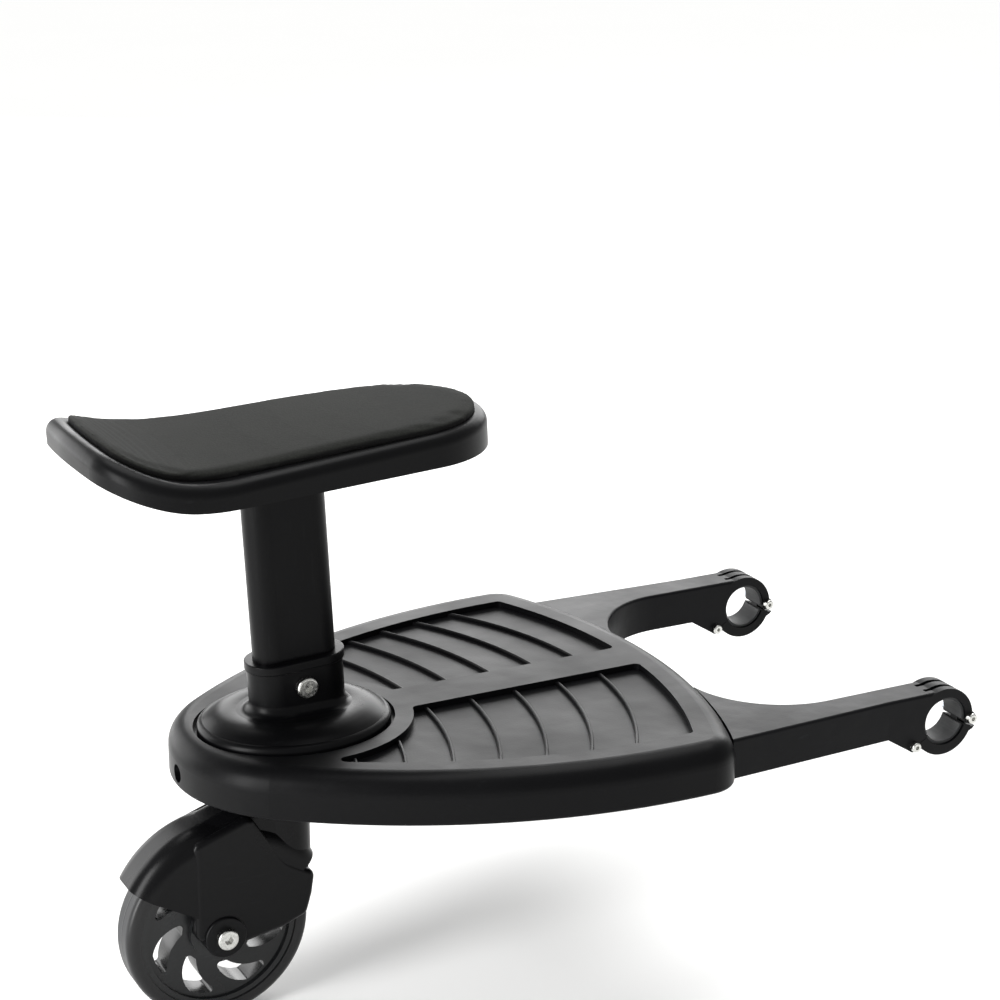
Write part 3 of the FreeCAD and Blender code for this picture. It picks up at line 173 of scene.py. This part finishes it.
paths = bpy.data.meshes.new("rib_paths")
draft = bmesh.new()
for k in range(rib_count):
    bow_centre = deck_front - first_rib_back - rib_pitch * k - rib_bow
    for side in (-1, 1):
        last = None
        for step in range(trace_count):
            y = step * trace_step
            x = bow_centre + math.sqrt(rib_bow ** 2 - y ** 2)
            if not on_tread(x, y):
                last = None
                continue
            point = draft.verts.new((x, side * y, tread_floor + rib_rise - crest_sink))
            if last:
                draft.edges.new((last, point))
            last = point
draft.to_mesh(paths)
draft.free()
rib_crests = bpy.data.objects.new("rib_crests", paths)
bpy.context.scene.collection.objects.link(rib_crests)

crests = bpy.data.node_groups.new("rounded_crests", "GeometryNodeTree")
crests.interface.new_socket("Paths", in_out="INPUT", socket_type="NodeSocketGeometry")
radius_input = crests.interface.new_socket("Crest radius", in_out="INPUT", socket_type="NodeSocketFloat")
step_input = crests.interface.new_socket("Step along rib", in_out="INPUT", socket_type="NodeSocketFloat")
finish_input = crests.interface.new_socket("Finish", in_out="INPUT", socket_type="NodeSocketMaterial")
crests.interface.new_socket("Crests", in_out="OUTPUT", socket_type="NodeSocketGeometry")
given = put(crests, "NodeGroupInput").outputs
rail = put(crests, "GeometryNodeMeshToCurve", {0: given["Paths"]})
even = put(crests, "GeometryNodeResampleCurve", {"Curve": rail.outputs[0], "Length": given["Step along rib"]},
           mode="LENGTH")
round_section = put(crests, "GeometryNodeCurvePrimitiveCircle", {"Resolution": 10,
                                                                 "Radius": given["Crest radius"]})
bead = put(crests, "GeometryNodeCurveToMesh", {"Curve": even.outputs[0],
                                               "Profile Curve": round_section.outputs[0], "Fill Caps": True})
real = put(crests, "GeometryNodeRealizeInstances", {0: bead.outputs[0]})
dressed = put(crests, "GeometryNodeSetMaterial", {"Geometry": real.outputs[0], "Material": given["Finish"]})
put(crests, "NodeGroupOutput", {"Crests": dressed.outputs[0]})


def settle(piece, tree, values):
    # runs a node tree on a piece and keeps the result as a plain mesh
    modifier = piece.modifiers.new("making", "NODES")
    modifier.node_group = tree
    for key, value in values.items():
        modifier[key] = value
    bpy.context.view_layer.update()
    made = bpy.data.meshes.new_from_object(piece.evaluated_get(bpy.context.evaluated_depsgraph_get()))
    piece.modifiers.remove(modifier)
    piece.data = made
    made.shade_smooth()


settle(rib_crests, crests, {radius_input.identifier: crest_radius, step_input.identifier: 0.004,
                            finish_input.identifier: deck_finish})
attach(rib_crests, "board")


# Arms: two glass-filled nylon mouldings whose tenons are bolted up under the deck. Each
# ends in the upper half of a tube clamp, with three ridges over its crown.

arm_finish = black_moulding("glass_filled_nylon_black", "#08080a", "#1b1d1f", gloss=0.4, grain_mm=1.7,
                            grain_depth_mm=0.035, sink_mm=17, sink_depth_mm=0.38, shine=0.11)
dress(arm_finish, "left_arm", "right_arm")


# Jaws: the lower half of each clamp, moulded in the same nylon. A jaw swings on its rear
# screw and is closed on the tube by the front one.

jaw_finish = black_moulding("nylon_jaw_black", "#080809", "#18191b", gloss=0.38, grain_mm=1.3,
                            grain_depth_mm=0.03, sink_mm=14, sink_depth_mm=0.12, shine=0.11)
dress(jaw_finish, "left_jaw", "right_jaw")


# Liners: soft bands glued in each half of a clamp, which grip the tube without marking it.
# They are cut from extruded rubber, so they have a dry, even skin with fine drawn lines.

drawn_line_mm = 1.1
bloom_mm = 9
liner_finish, tree = new_finish("extruded_rubber_grey_black")
place = put(tree, "ShaderNodeTexCoord").outputs["Object"]
drawn = put(tree, "ShaderNodeMapping", {"Vector": place, "Scale": (1, 0.05, 1)})
lines = put(tree, "ShaderNodeTexNoise", {"Vector": drawn.outputs[0], "Scale": 1000 / drawn_line_mm,
                                         "Detail": 2.0})
bloom = put(tree, "ShaderNodeTexNoise", {"Vector": place, "Scale": 1000 / bloom_mm, "Detail": 3.0})
colour = put(tree, "ShaderNodeMix", {"Factor": bloom.outputs["Fac"], "A": linear("#1d1e1f"),
                                     "B": linear("#38393a")}, data_type="RGBA")
rough = put(tree, "ShaderNodeMapRange", {"Value": lines.outputs["Fac"], "To Min": 0.5, "To Max": 0.72})
bumps = put(tree, "ShaderNodeBump", {"Height": lines.outputs["Fac"], "Strength": 1.0, "Distance": 0.00006})
rubber = put(tree, "ShaderNodeBsdfPrincipled", {
    "Base Color": colour.outputs["Result"], "Roughness": rough.outputs[0], "Normal": bumps.outputs[0],
    "IOR": 1.52, "Specular IOR Level": 0.4})
put(tree, "ShaderNodeOutputMaterial", {"Surface": rubber.outputs[0]})
dress(liner_finish, "left_upper_liner", "right_upper_liner", "left_lower_liner", "right_lower_liner")


# Bright screws: the cap screws that show at the clamps, the collar and the axle. They are
# turned steel with a nickel plate, so they are the only bright points on a black board.

def plated_steel(name, bright, dim, gloss, spot_mm):
    # a thin plate over turned steel: clear reflections, broken by faint cloudy spots
    finish, tree = new_finish(name)
    place = put(tree, "ShaderNodeTexCoord").outputs["Object"]
    spots = put(tree, "ShaderNodeTexNoise", {"Vector": place, "Scale": 1000 / spot_mm, "Detail": 3.0})
    cells = put(tree, "ShaderNodeTexVoronoi", {"Vector": place, "Scale": 1000 / (spot_mm * 0.6)})
    tone = put(tree, "ShaderNodeMath", {0: spots.outputs["Fac"], 1: cells.outputs["Distance"]},
               operation="MULTIPLY", use_clamp=True)
    colour = put(tree, "ShaderNodeMix", {"Factor": tone.outputs[0], "A": linear(bright), "B": linear(dim)},
                 data_type="RGBA")
    rough = put(tree, "ShaderNodeMapRange", {"Value": spots.outputs["Fac"], "From Min": 0.3, "From Max": 0.7,
                                             "To Min": gloss - 0.05, "To Max": gloss + 0.1})
    bumps = put(tree, "ShaderNodeBump", {"Height": spots.outputs["Fac"], "Strength": 1.0,
                                         "Distance": 0.00002})
    steel = put(tree, "ShaderNodeBsdfPrincipled", {
        "Base Color": colour.outputs["Result"], "Roughness": rough.outputs[0], "Normal": bumps.outputs[0],
        "Metallic": 1.0})
    put(tree, "ShaderNodeOutputMaterial", {"Surface": steel.outputs[0]})
    return finish


nickel_finish = plated_steel("nickel_plated_steel", "#dcdcd8", "#8f8f8c", gloss=0.2, spot_mm=1.6)
dress(nickel_finish, "jaw_lock_screws", "jaw_hinge_screws", "post_bolt", "axle_bolt")


# Hidden screws and nuts: zinc-plated hardware on the far side and underneath. The plate is
# duller than nickel, with a faint blue cast and a cloudy spangle.

zinc_finish = plated_steel("zinc_plated_steel", "#b9bec4", "#7d838a", gloss=0.36, spot_mm=2.2)
dress(zinc_finish, "jaw_screw_nuts", "arm_bolts", "socket_screws", "post_nut", "seat_screws", "swivel_bolt",
      "swivel_nut", "swivel_washers", "axle_nut")


# Locking rings: each nut has a nylon ring rolled into its outer end, which grips the thread
# so that the nut can't shake loose. They are natural nylon, milky and a little waxy.

haze_mm = 1.2
small_ring_radius = 0.0023
large_ring_radius = 0.0045
swivel_ring_radius = 0.0058
ring_share = 0.14
clamp_axis = 0.26635
reach = 0.5
nylon_finish, tree = new_finish("natural_nylon_milky")
place = put(tree, "ShaderNodeTexCoord").outputs["Object"]
haze = put(tree, "ShaderNodeTexNoise", {"Vector": place, "Scale": 1000 / haze_mm, "Detail": 2.0})
colour = put(tree, "ShaderNodeMix", {"Factor": haze.outputs["Fac"], "A": linear("#c9c6ba"),
                                     "B": linear("#e2dfd4")}, data_type="RGBA")
rough = put(tree, "ShaderNodeMapRange", {"Value": haze.outputs["Fac"], "To Min": 0.32, "To Max": 0.5})
nylon = put(tree, "ShaderNodeBsdfPrincipled", {
    "Base Color": colour.outputs["Result"], "Roughness": rough.outputs[0], "IOR": 1.53})
put(tree, "ShaderNodeOutputMaterial", {"Surface": nylon.outputs[0]})

ring_tree = bpy.data.node_groups.new("nylon_rings", "GeometryNodeTree")
ring_tree.interface.new_socket("Places", in_out="INPUT", socket_type="NodeSocketGeometry")
bulge_input = ring_tree.interface.new_socket("Ring thickness", in_out="INPUT", socket_type="NodeSocketFloat")
finish_input = ring_tree.interface.new_socket("Finish", in_out="INPUT", socket_type="NodeSocketMaterial")
ring_tree.interface.new_socket("Rings", in_out="OUTPUT", socket_type="NodeSocketGeometry")
given = put(ring_tree, "NodeGroupInput").outputs
round_rail = put(ring_tree, "GeometryNodeCurvePrimitiveCircle", {"Resolution": 40, "Radius": 1.0})
round_section = put(ring_tree, "GeometryNodeCurvePrimitiveCircle", {"Resolution": 10,
                                                                    "Radius": given["Ring thickness"]})
ring = put(ring_tree, "GeometryNodeCurveToMesh", {"Curve": round_rail.outputs[0],
                                                  "Profile Curve": round_section.outputs[0]})
size = put(ring_tree, "GeometryNodeInputNamedAttribute", {"Name": "ring_radius"}, data_type="FLOAT")
turn = put(ring_tree, "GeometryNodeInputNamedAttribute", {"Name": "ring_turn"}, data_type="FLOAT_VECTOR")
facing = put(ring_tree, "FunctionNodeEulerToRotation", {0: turn.outputs["Attribute"]})
dots = put(ring_tree, "GeometryNodeMeshToPoints", {"Mesh": given["Places"]})
copies = put(ring_tree, "GeometryNodeInstanceOnPoints", {
    "Points": dots.outputs[0], "Instance": ring.outputs[0], "Rotation": facing.outputs[0],
    "Scale": size.outputs["Attribute"]})
real = put(ring_tree, "GeometryNodeRealizeInstances", {0: copies.outputs[0]})
dressed = put(ring_tree, "GeometryNodeSetMaterial", {"Geometry": real.outputs[0],
                                                     "Material": given["Finish"]})
put(ring_tree, "NodeGroupOutput", {"Rings": dressed.outputs[0]})


def locking_rings(name, body, places):
    # places: centre, ring radius, and how far the ring is turned about X from lying flat
    dots = bpy.data.meshes.new(name)
    dots.from_pydata([centre for centre, radius, turned in places], [], [])
    radii = dots.attributes.new("ring_radius", "FLOAT", "POINT")
    turns = dots.attributes.new("ring_turn", "FLOAT_VECTOR", "POINT")
    for k, (centre, radius, turned) in enumerate(places):
        radii.data[k].value = radius
        turns.data[k].vector = (turned, 0, 0)
    rings = bpy.data.objects.new(name, dots)
    bpy.context.scene.collection.objects.link(rings)
    settle(rings, ring_tree, {bulge_input.identifier: ring_share, finish_input.identifier: nylon_finish})
    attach(rings, body)


def nut_end(node, x_range=None, y_range=None):
    # the middle of a nut's outer face, on its left side
    points = [v.co for v in solids[node].data.vertices
              if (x_range is None or x_range[0] < v.co.x < x_range[1])
              and (y_range is None or y_range[0] < v.co.y < y_range[1])]
    xs, ys, zs = zip(*points)
    return Vector(((min(xs) + max(xs)) / 2, max(ys), (min(zs) + max(zs)) / 2))


upright = math.pi / 2
board_places = [(nut_end("post_nut"), large_ring_radius, upright)]
for y_range in ((-reach, 0), (0, reach)):
    for x_range in ((0, clamp_axis), (clamp_axis, reach)):
        board_places.append((nut_end("jaw_screw_nuts", x_range, y_range), small_ring_radius, upright))
low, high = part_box("swivel_nut")
board_places.append((Vector(((low.x + high.x) / 2, 0, low.z)), swivel_ring_radius, 0.0))
locking_rings("board_nut_rings", "board", board_places)
locking_rings("axle_nut_ring", "castor", [(nut_end("axle_nut"), large_ring_radius, upright)])


# Seat socket: a domed flange with a tall collar, let into the deck and screwed from below.
# It is moulded ABS from a polished tool, so it shines more than the deck around it.

socket_finish = black_moulding("abs_half_gloss_black", "#060607", "#131415", gloss=0.29, grain_mm=1.2,
                               grain_depth_mm=0.012, sink_mm=30, sink_depth_mm=0.2, shine=0.11)
dress(socket_finish, "seat_socket")


# Post: a flat-sided oval aluminium tube with a black powder coat, pushed into the collar and
# bolted through. The coat has a faint orange peel and fine rubs along the tube.

peel_mm = 1.8
rub_mm = 2.0
cloud_mm = 60
post_finish, tree = new_finish("powder_coat_satin_black")
place = put(tree, "ShaderNodeTexCoord").outputs["Object"]
peel = put(tree, "ShaderNodeTexNoise", {"Vector": place, "Scale": 1000 / peel_mm, "Detail": 1.0})
along = put(tree, "ShaderNodeMapping", {"Vector": place, "Scale": (1, 1, 0.06)})
rubs = put(tree, "ShaderNodeTexNoise", {"Vector": along.outputs[0], "Scale": 1000 / rub_mm, "Detail": 3.0})
cloud = put(tree, "ShaderNodeTexNoise", {"Vector": place, "Scale": 1000 / cloud_mm, "Detail": 2.0})
streak = put(tree, "ShaderNodeMapRange", {"Value": rubs.outputs["Fac"], "From Min": 0.6, "From Max": 0.8})
amount = put(tree, "ShaderNodeMath", {0: streak.outputs[0], 1: cloud.outputs["Fac"]}, operation="MULTIPLY")
colour = put(tree, "ShaderNodeMix", {"Factor": amount.outputs[0], "A": linear("#060607"),
                                     "B": linear("#18191a")}, data_type="RGBA")
rough = put(tree, "ShaderNodeMapRange", {"Value": cloud.outputs["Fac"], "From Min": 0.3, "From Max": 0.7,
                                         "To Min": 0.3, "To Max": 0.4})
bumps = put(tree, "ShaderNodeBump", {"Height": peel.outputs["Fac"], "Strength": 1.0, "Distance": 0.00002})
coat = put(tree, "ShaderNodeBsdfPrincipled", {
    "Base Color": colour.outputs["Result"], "Roughness": rough.outputs[0], "Normal": bumps.outputs[0],
    "IOR": 1.5, "Specular IOR Level": 0.1})
put(tree, "ShaderNodeOutputMaterial", {"Surface": coat.outputs[0]})
dress(post_finish, "seat_post")


# Plug: a nylon block pressed into the tube's top, which the saddle's two screws bite into.
# It is moulded solid and stays hidden, so it keeps the plain grain of its mould.

plug_finish = black_moulding("nylon_plug_black", "#131313", "#303133", gloss=0.45, grain_mm=1.4,
                             grain_depth_mm=0.03, sink_mm=12, sink_depth_mm=0.08, shine=0.3)
dress(plug_finish, "post_plug")


# Saddle shell: a moulded polypropylene saddle with a turned-up rear edge and a deep skirt,
# screwed down into the post's plug. Its rounded brim frames the pad.

shell_finish = black_moulding("polypropylene_satin_black", "#070708", "#161718", gloss=0.36, grain_mm=1.4,
                              grain_depth_mm=0.022, sink_mm=34, sink_depth_mm=0.24, shine=0.11)
dress(shell_finish, "seat_shell")


# Pad: a sheet of closed-cell foam with a fine knitted face, pressed to the saddle's shape
# and glued inside its brim. It is crowned a little; its cut edge is painted near-black as painted shade.

# The knit's real pitch is about 0.6 mm, drawn at 1.7 mm so that it shows in the picture.
knit_mm = 1.7
fuzz_mm = 0.9
press_mm = 48
pad_finish, tree = new_finish("knit_faced_foam_charcoal")
coords = put(tree, "ShaderNodeTexCoord")
place = coords.outputs["Object"]
knit_turn = put(tree, "ShaderNodeMapping", {"Vector": place, "Rotation": (0, 0, math.radians(45))})
knit = put(tree, "ShaderNodeTexVoronoi", {"Vector": knit_turn.outputs[0], "Scale": 1000 / knit_mm,
                                          "Randomness": 0.55})
fuzz = put(tree, "ShaderNodeTexNoise", {"Vector": place, "Scale": 1000 / fuzz_mm, "Detail": 3.0})
press = put(tree, "ShaderNodeTexNoise", {"Vector": place, "Scale": 1000 / press_mm, "Detail": 2.0})
thread = put(tree, "ShaderNodeMath", {0: knit.outputs["Distance"], 1: 1.1}, operation="MULTIPLY",
             use_clamp=True)
face = put(tree, "ShaderNodeMix", {"Factor": thread.outputs[0], "A": linear("#252624"),
                                   "B": linear("#191a18")}, data_type="RGBA")
lean = put(tree, "ShaderNodeMapRange", {"Value": press.outputs["Fac"], "From Min": 0.3, "From Max": 0.7,
                                        "To Min": 0.0, "To Max": 0.35})
worn = put(tree, "ShaderNodeMix", {"Factor": lean.outputs[0], "A": face.outputs["Result"],
                                   "B": linear("#282825")}, data_type="RGBA")
# painted shade: where the normal turns away from straight up, the colour goes to near-black #0b0b0b, so the
# pad's side walls are painted darker than its top
way = put(tree, "ShaderNodeSeparateXYZ", {0: coords.outputs["Normal"]})
painted_side_shade_mask = put(tree, "ShaderNodeMapRange", {"Value": way.outputs["Z"], "From Min": 0.25, "From Max": 0.7})
colour = put(tree, "ShaderNodeMix", {"Factor": painted_side_shade_mask.outputs[0], "A": linear("#0b0b0b"),
                                     "B": worn.outputs["Result"]}, data_type="RGBA")
height = put(tree, "ShaderNodeMath", {0: fuzz.outputs["Fac"], 1: 0.5, 2: knit.outputs["Distance"]},
             operation="MULTIPLY_ADD")
bumps = put(tree, "ShaderNodeBump", {"Height": height.outputs[0], "Strength": 0.7, "Distance": 0.00012},
            invert=True)
rough = put(tree, "ShaderNodeMapRange", {"Value": fuzz.outputs["Fac"], "To Min": 0.86, "To Max": 0.98})
foam = put(tree, "ShaderNodeBsdfPrincipled", {
    "Base Color": colour.outputs["Result"], "Roughness": rough.outputs[0], "Normal": bumps.outputs[0],
    "IOR": 1.45, "Specular IOR Level": 0.15, "Sheen Weight": 0.03, "Sheen Roughness": 0.5})
put(tree, "ShaderNodeOutputMaterial", {"Surface": foam.outputs[0]})

mesh_step = 0.0018
merge_gap = 0.00002
swell_pressure = 4.0
swell_ticks = 20
swell_limit = 0.0009
smoothing_passes = 4
faces_down, faces_up, faces_out = -0.4, 0.75, 0.35
pad = bpy.data.objects.new("foam_pad", solids["seat_pad"].data.copy())
bpy.context.scene.collection.objects.link(pad)
draft = bmesh.new()
draft.from_mesh(pad.data)
bmesh.ops.remove_doubles(draft, verts=draft.verts, dist=merge_gap)
draft.to_mesh(pad.data)
draft.free()
for other in bpy.context.view_layer.objects:
    other.select_set(other == pad)
bpy.context.view_layer.objects.active = pad
pad.data.remesh_voxel_size = mesh_step
bpy.ops.object.voxel_remesh()
# the foam is glued below and swells a little everywhere else
start = [v.co.copy() for v in pad.data.vertices]
glued = pad.vertex_groups.new(name="glued")
for v in pad.data.vertices:
    if v.normal.z < faces_down:
        glued.add([v.index], 1.0, "REPLACE")
cloth = pad.modifiers.new("foam", "CLOTH")
cloth.settings.vertex_group_mass = "glued"
cloth.settings.use_pressure = True
cloth.settings.uniform_pressure_force = swell_pressure
cloth.settings.effector_weights.gravity = 0.0
for tick in range(1, swell_ticks + 1):
    bpy.context.scene.frame_set(tick)
swollen = pad.evaluated_get(bpy.context.evaluated_depsgraph_get())
moved = []
for v, before in zip(swollen.data.vertices, start):
    shift = v.co - before
    moved.append(before + shift * min(1.0, swell_limit / max(shift.length, 1e-9)))
pad.modifiers.remove(cloth)
bpy.context.scene.frame_set(1)
for v, place_now in zip(pad.data.vertices, moved):
    v.co = place_now
# smoothing takes the grid's steps out, up and down on the face and sideways on the cut edge
draft = bmesh.new()
draft.from_mesh(pad.data)
tops = [v for v in draft.verts if v.normal.z > faces_up]
walls = [v for v in draft.verts if abs(v.normal.z) < faces_out]
for each_pass in range(smoothing_passes):
    bmesh.ops.smooth_vert(draft, verts=tops, factor=0.5, use_axis_z=True)
    bmesh.ops.smooth_vert(draft, verts=walls, factor=0.5, use_axis_x=True, use_axis_y=True)
draft.to_mesh(pad.data)
draft.free()
pad.data.materials.clear()
pad.data.materials.append(pad_finish)
pad.data.shade_smooth()
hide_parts("seat_pad")
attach(pad, "board")


# Fork: the castor's hub, two legs and mudguard in one glossy nylon moulding, which turns on
# two bearings under the deck's tail.

fork_finish = black_moulding("nylon_gloss_black", "#080809", "#151618", gloss=0.28, grain_mm=1.6,
                             grain_depth_mm=0.01, sink_mm=32, sink_depth_mm=0.2, shine=0.14)
dress(fork_finish, "fork")


# Swivel and wheel bearings: ground steel rings with pressed shields, and the turned aluminium
# sleeves that keep them apart. Both are bare and bright, with faint cloudy spots.

race_finish = plated_steel("ground_bearing_steel", "#c4c5c6", "#8d8f91", gloss=0.25, spot_mm=1.2)
dress(race_finish, "swivel_bearings", "wheel_bearings")
sleeve_finish = plated_steel("turned_aluminium", "#cfd0d1", "#a2a4a6", gloss=0.32, spot_mm=1.4)
dress(sleeve_finish, "swivel_spacer", "bearing_spacer", "axle_spacers")


# Wheel core: seven swept openings between a hub and a rim, moulded in glossy black nylon.
# The walls of the openings come off a polished core, so they mirror the floor.

core_finish = black_moulding("nylon_wheel_gloss_black", "#111213", "#2d2f31", gloss=0.22, grain_mm=1.6,
                             grain_depth_mm=0.01, sink_mm=18, sink_depth_mm=0.1, shine=0.4)
dress(core_finish, "wheel_core")


# Tyre: a polyurethane band cast round the rim. It is smooth and satin, with a thin flash line
# where the mould closed, and road dust dulls the part that rolls.

grit_mm = 1.6
dust_mm = 14
flash_inner, flash_outer = 0.0002, 0.0007
rolling_inner, rolling_outer = 0.0072, 0.0102
tyre_finish, tree = new_finish("cast_polyurethane_black")
place = put(tree, "ShaderNodeTexCoord").outputs["Object"]
across = put(tree, "ShaderNodeSeparateXYZ", {0: place})
off_line = put(tree, "ShaderNodeMath", {0: across.outputs["Y"]}, operation="ABSOLUTE")
flash = put(tree, "ShaderNodeMapRange", {"Value": off_line.outputs[0], "From Min": flash_inner,
                                         "From Max": flash_outer, "To Min": 1.0, "To Max": 0.0})
tread_zone = put(tree, "ShaderNodeMapRange", {"Value": off_line.outputs[0], "From Min": rolling_inner,
                                              "From Max": rolling_outer, "To Min": 1.0, "To Max": 0.0})
grit = put(tree, "ShaderNodeTexNoise", {"Vector": place, "Scale": 1000 / grit_mm, "Detail": 4.0})
dust = put(tree, "ShaderNodeTexNoise", {"Vector": place, "Scale": 1000 / dust_mm, "Detail": 3.0})
dusty = put(tree, "ShaderNodeMath", {0: tread_zone.outputs[0], 1: dust.outputs["Fac"]}, operation="MULTIPLY")
colour = put(tree, "ShaderNodeMix", {"Factor": dusty.outputs[0], "A": linear("#131314"),
                                     "B": linear("#333436")}, data_type="RGBA")
rough = put(tree, "ShaderNodeMapRange", {"Value": dusty.outputs[0], "To Min": 0.36, "To Max": 0.62})
bumps = put(tree, "ShaderNodeBump", {"Height": grit.outputs["Fac"], "Strength": 1.0, "Distance": 0.00003})
seam = put(tree, "ShaderNodeBump", {"Height": flash.outputs[0], "Strength": 1.0, "Distance": 0.0002,
                                    "Normal": bumps.outputs[0]})
urethane = put(tree, "ShaderNodeBsdfPrincipled", {
    "Base Color": colour.outputs["Result"], "Roughness": rough.outputs[0], "Normal": seam.outputs[0],
    "IOR": 1.5, "Specular IOR Level": 0.36})
put(tree, "ShaderNodeOutputMaterial", {"Surface": urethane.outputs[0]})
dress(tyre_finish, "tyre")


# Floor: a wide sheet of pale matte paper that the board stands on, with no edge in the view.
# It throws light back up under the deck and into the wheel's openings.

floor_half = 30
floor_level = -0.0005
paper, tree = new_finish("matte_paper_white")
place = put(tree, "ShaderNodeTexCoord").outputs["Object"]
fibre = put(tree, "ShaderNodeTexNoise", {"Vector": place, "Scale": 2.0, "Detail": 2.0})
colour = put(tree, "ShaderNodeMix", {"Factor": fibre.outputs["Fac"], "A": linear("#fafaf9"),
                                     "B": linear("#fcfcfb")}, data_type="RGBA")
sheet = put(tree, "ShaderNodeBsdfPrincipled", {"Base Color": colour.outputs["Result"], "Roughness": 0.95,
                                               "Specular IOR Level": 0.1})
put(tree, "ShaderNodeOutputMaterial", {"Surface": sheet.outputs[0]})
outline = bpy.data.meshes.new("floor")
corners = [(-floor_half, -floor_half), (floor_half, -floor_half), (floor_half, floor_half),
           (-floor_half, floor_half)]
outline.from_pydata([(x, y, floor_level) for x, y in corners], [], [(0, 1, 2, 3)])
floor = bpy.data.objects.new("floor", outline)
outline.materials.append(paper)
bpy.context.scene.collection.objects.link(floor)


# Light: an even white studio under a bright ceiling. Soft boxes behind the board lay a sheen
# on its level faces, and a narrow one on the left lights the rounded edges of the tail.

studio = bpy.data.worlds.new("white_studio")
studio.use_nodes = True
studio.node_tree.nodes.clear()
air = put(studio.node_tree, "ShaderNodeBackground", {"Color": (1, 1, 1, 1), "Strength": 0.48})
put(studio.node_tree, "ShaderNodeOutputWorld", {"Surface": air.outputs[0]})
bpy.context.scene.world = studio


def soft_box(name, place, target, width, height, power):
    light = bpy.data.lights.new(name, "AREA")
    light.shape = "RECTANGLE"
    light.size = width
    light.size_y = height
    light.energy = power
    lamp = bpy.data.objects.new(name, light)
    lamp.location = place
    lamp.rotation_euler = (Vector(target) - Vector(place)).to_track_quat("-Z", "Y").to_euler()
    bpy.context.scene.collection.objects.link(lamp)


soft_box("left_soft_box", (-1.9, -0.45, 0.75), (-0.1, 0, 0.3), width=0.7, height=1.5, power=42)
soft_box("back_left_soft_box", (-1.3, 2.2, 0.8), (-0.1, 0, 0.2), width=2.0, height=1.6, power=35)
soft_box("back_soft_box", (1.7, 2.7, 1.25), (0, 0, 0.2), width=3.0, height=1.5, power=68)
ceiling_falls = Vector((-0.12, -0.23, -0.966))
ceiling = bpy.data.lights.new("bright_ceiling", "SUN")
ceiling.energy = 1.8
ceiling.angle = math.radians(50)
overhead = bpy.data.objects.new("bright_ceiling", ceiling)
overhead.rotation_euler = ceiling_falls.to_track_quat("-Z", "Y").to_euler()
bpy.context.scene.collection.objects.link(overhead)


# Camera: where the photograph was taken from, behind the board and to its right, a little
# above it and looking down, through a short telephoto lens.

lens = bpy.data.cameras.new("camera")
lens.lens = 87.27
lens.sensor_width = 36
camera = bpy.data.objects.new("camera", lens)
camera.location = (-0.68745, -1.3437, 0.80134)
look_down, turned_right = 17.725, 27.087
camera.rotation_euler = (math.radians(90 - look_down), 0, math.radians(-turned_right))
bpy.context.scene.collection.objects.link(camera)
bpy.context.scene.camera = camera
bpy.context.scene.view_settings.view_transform = "Standard"
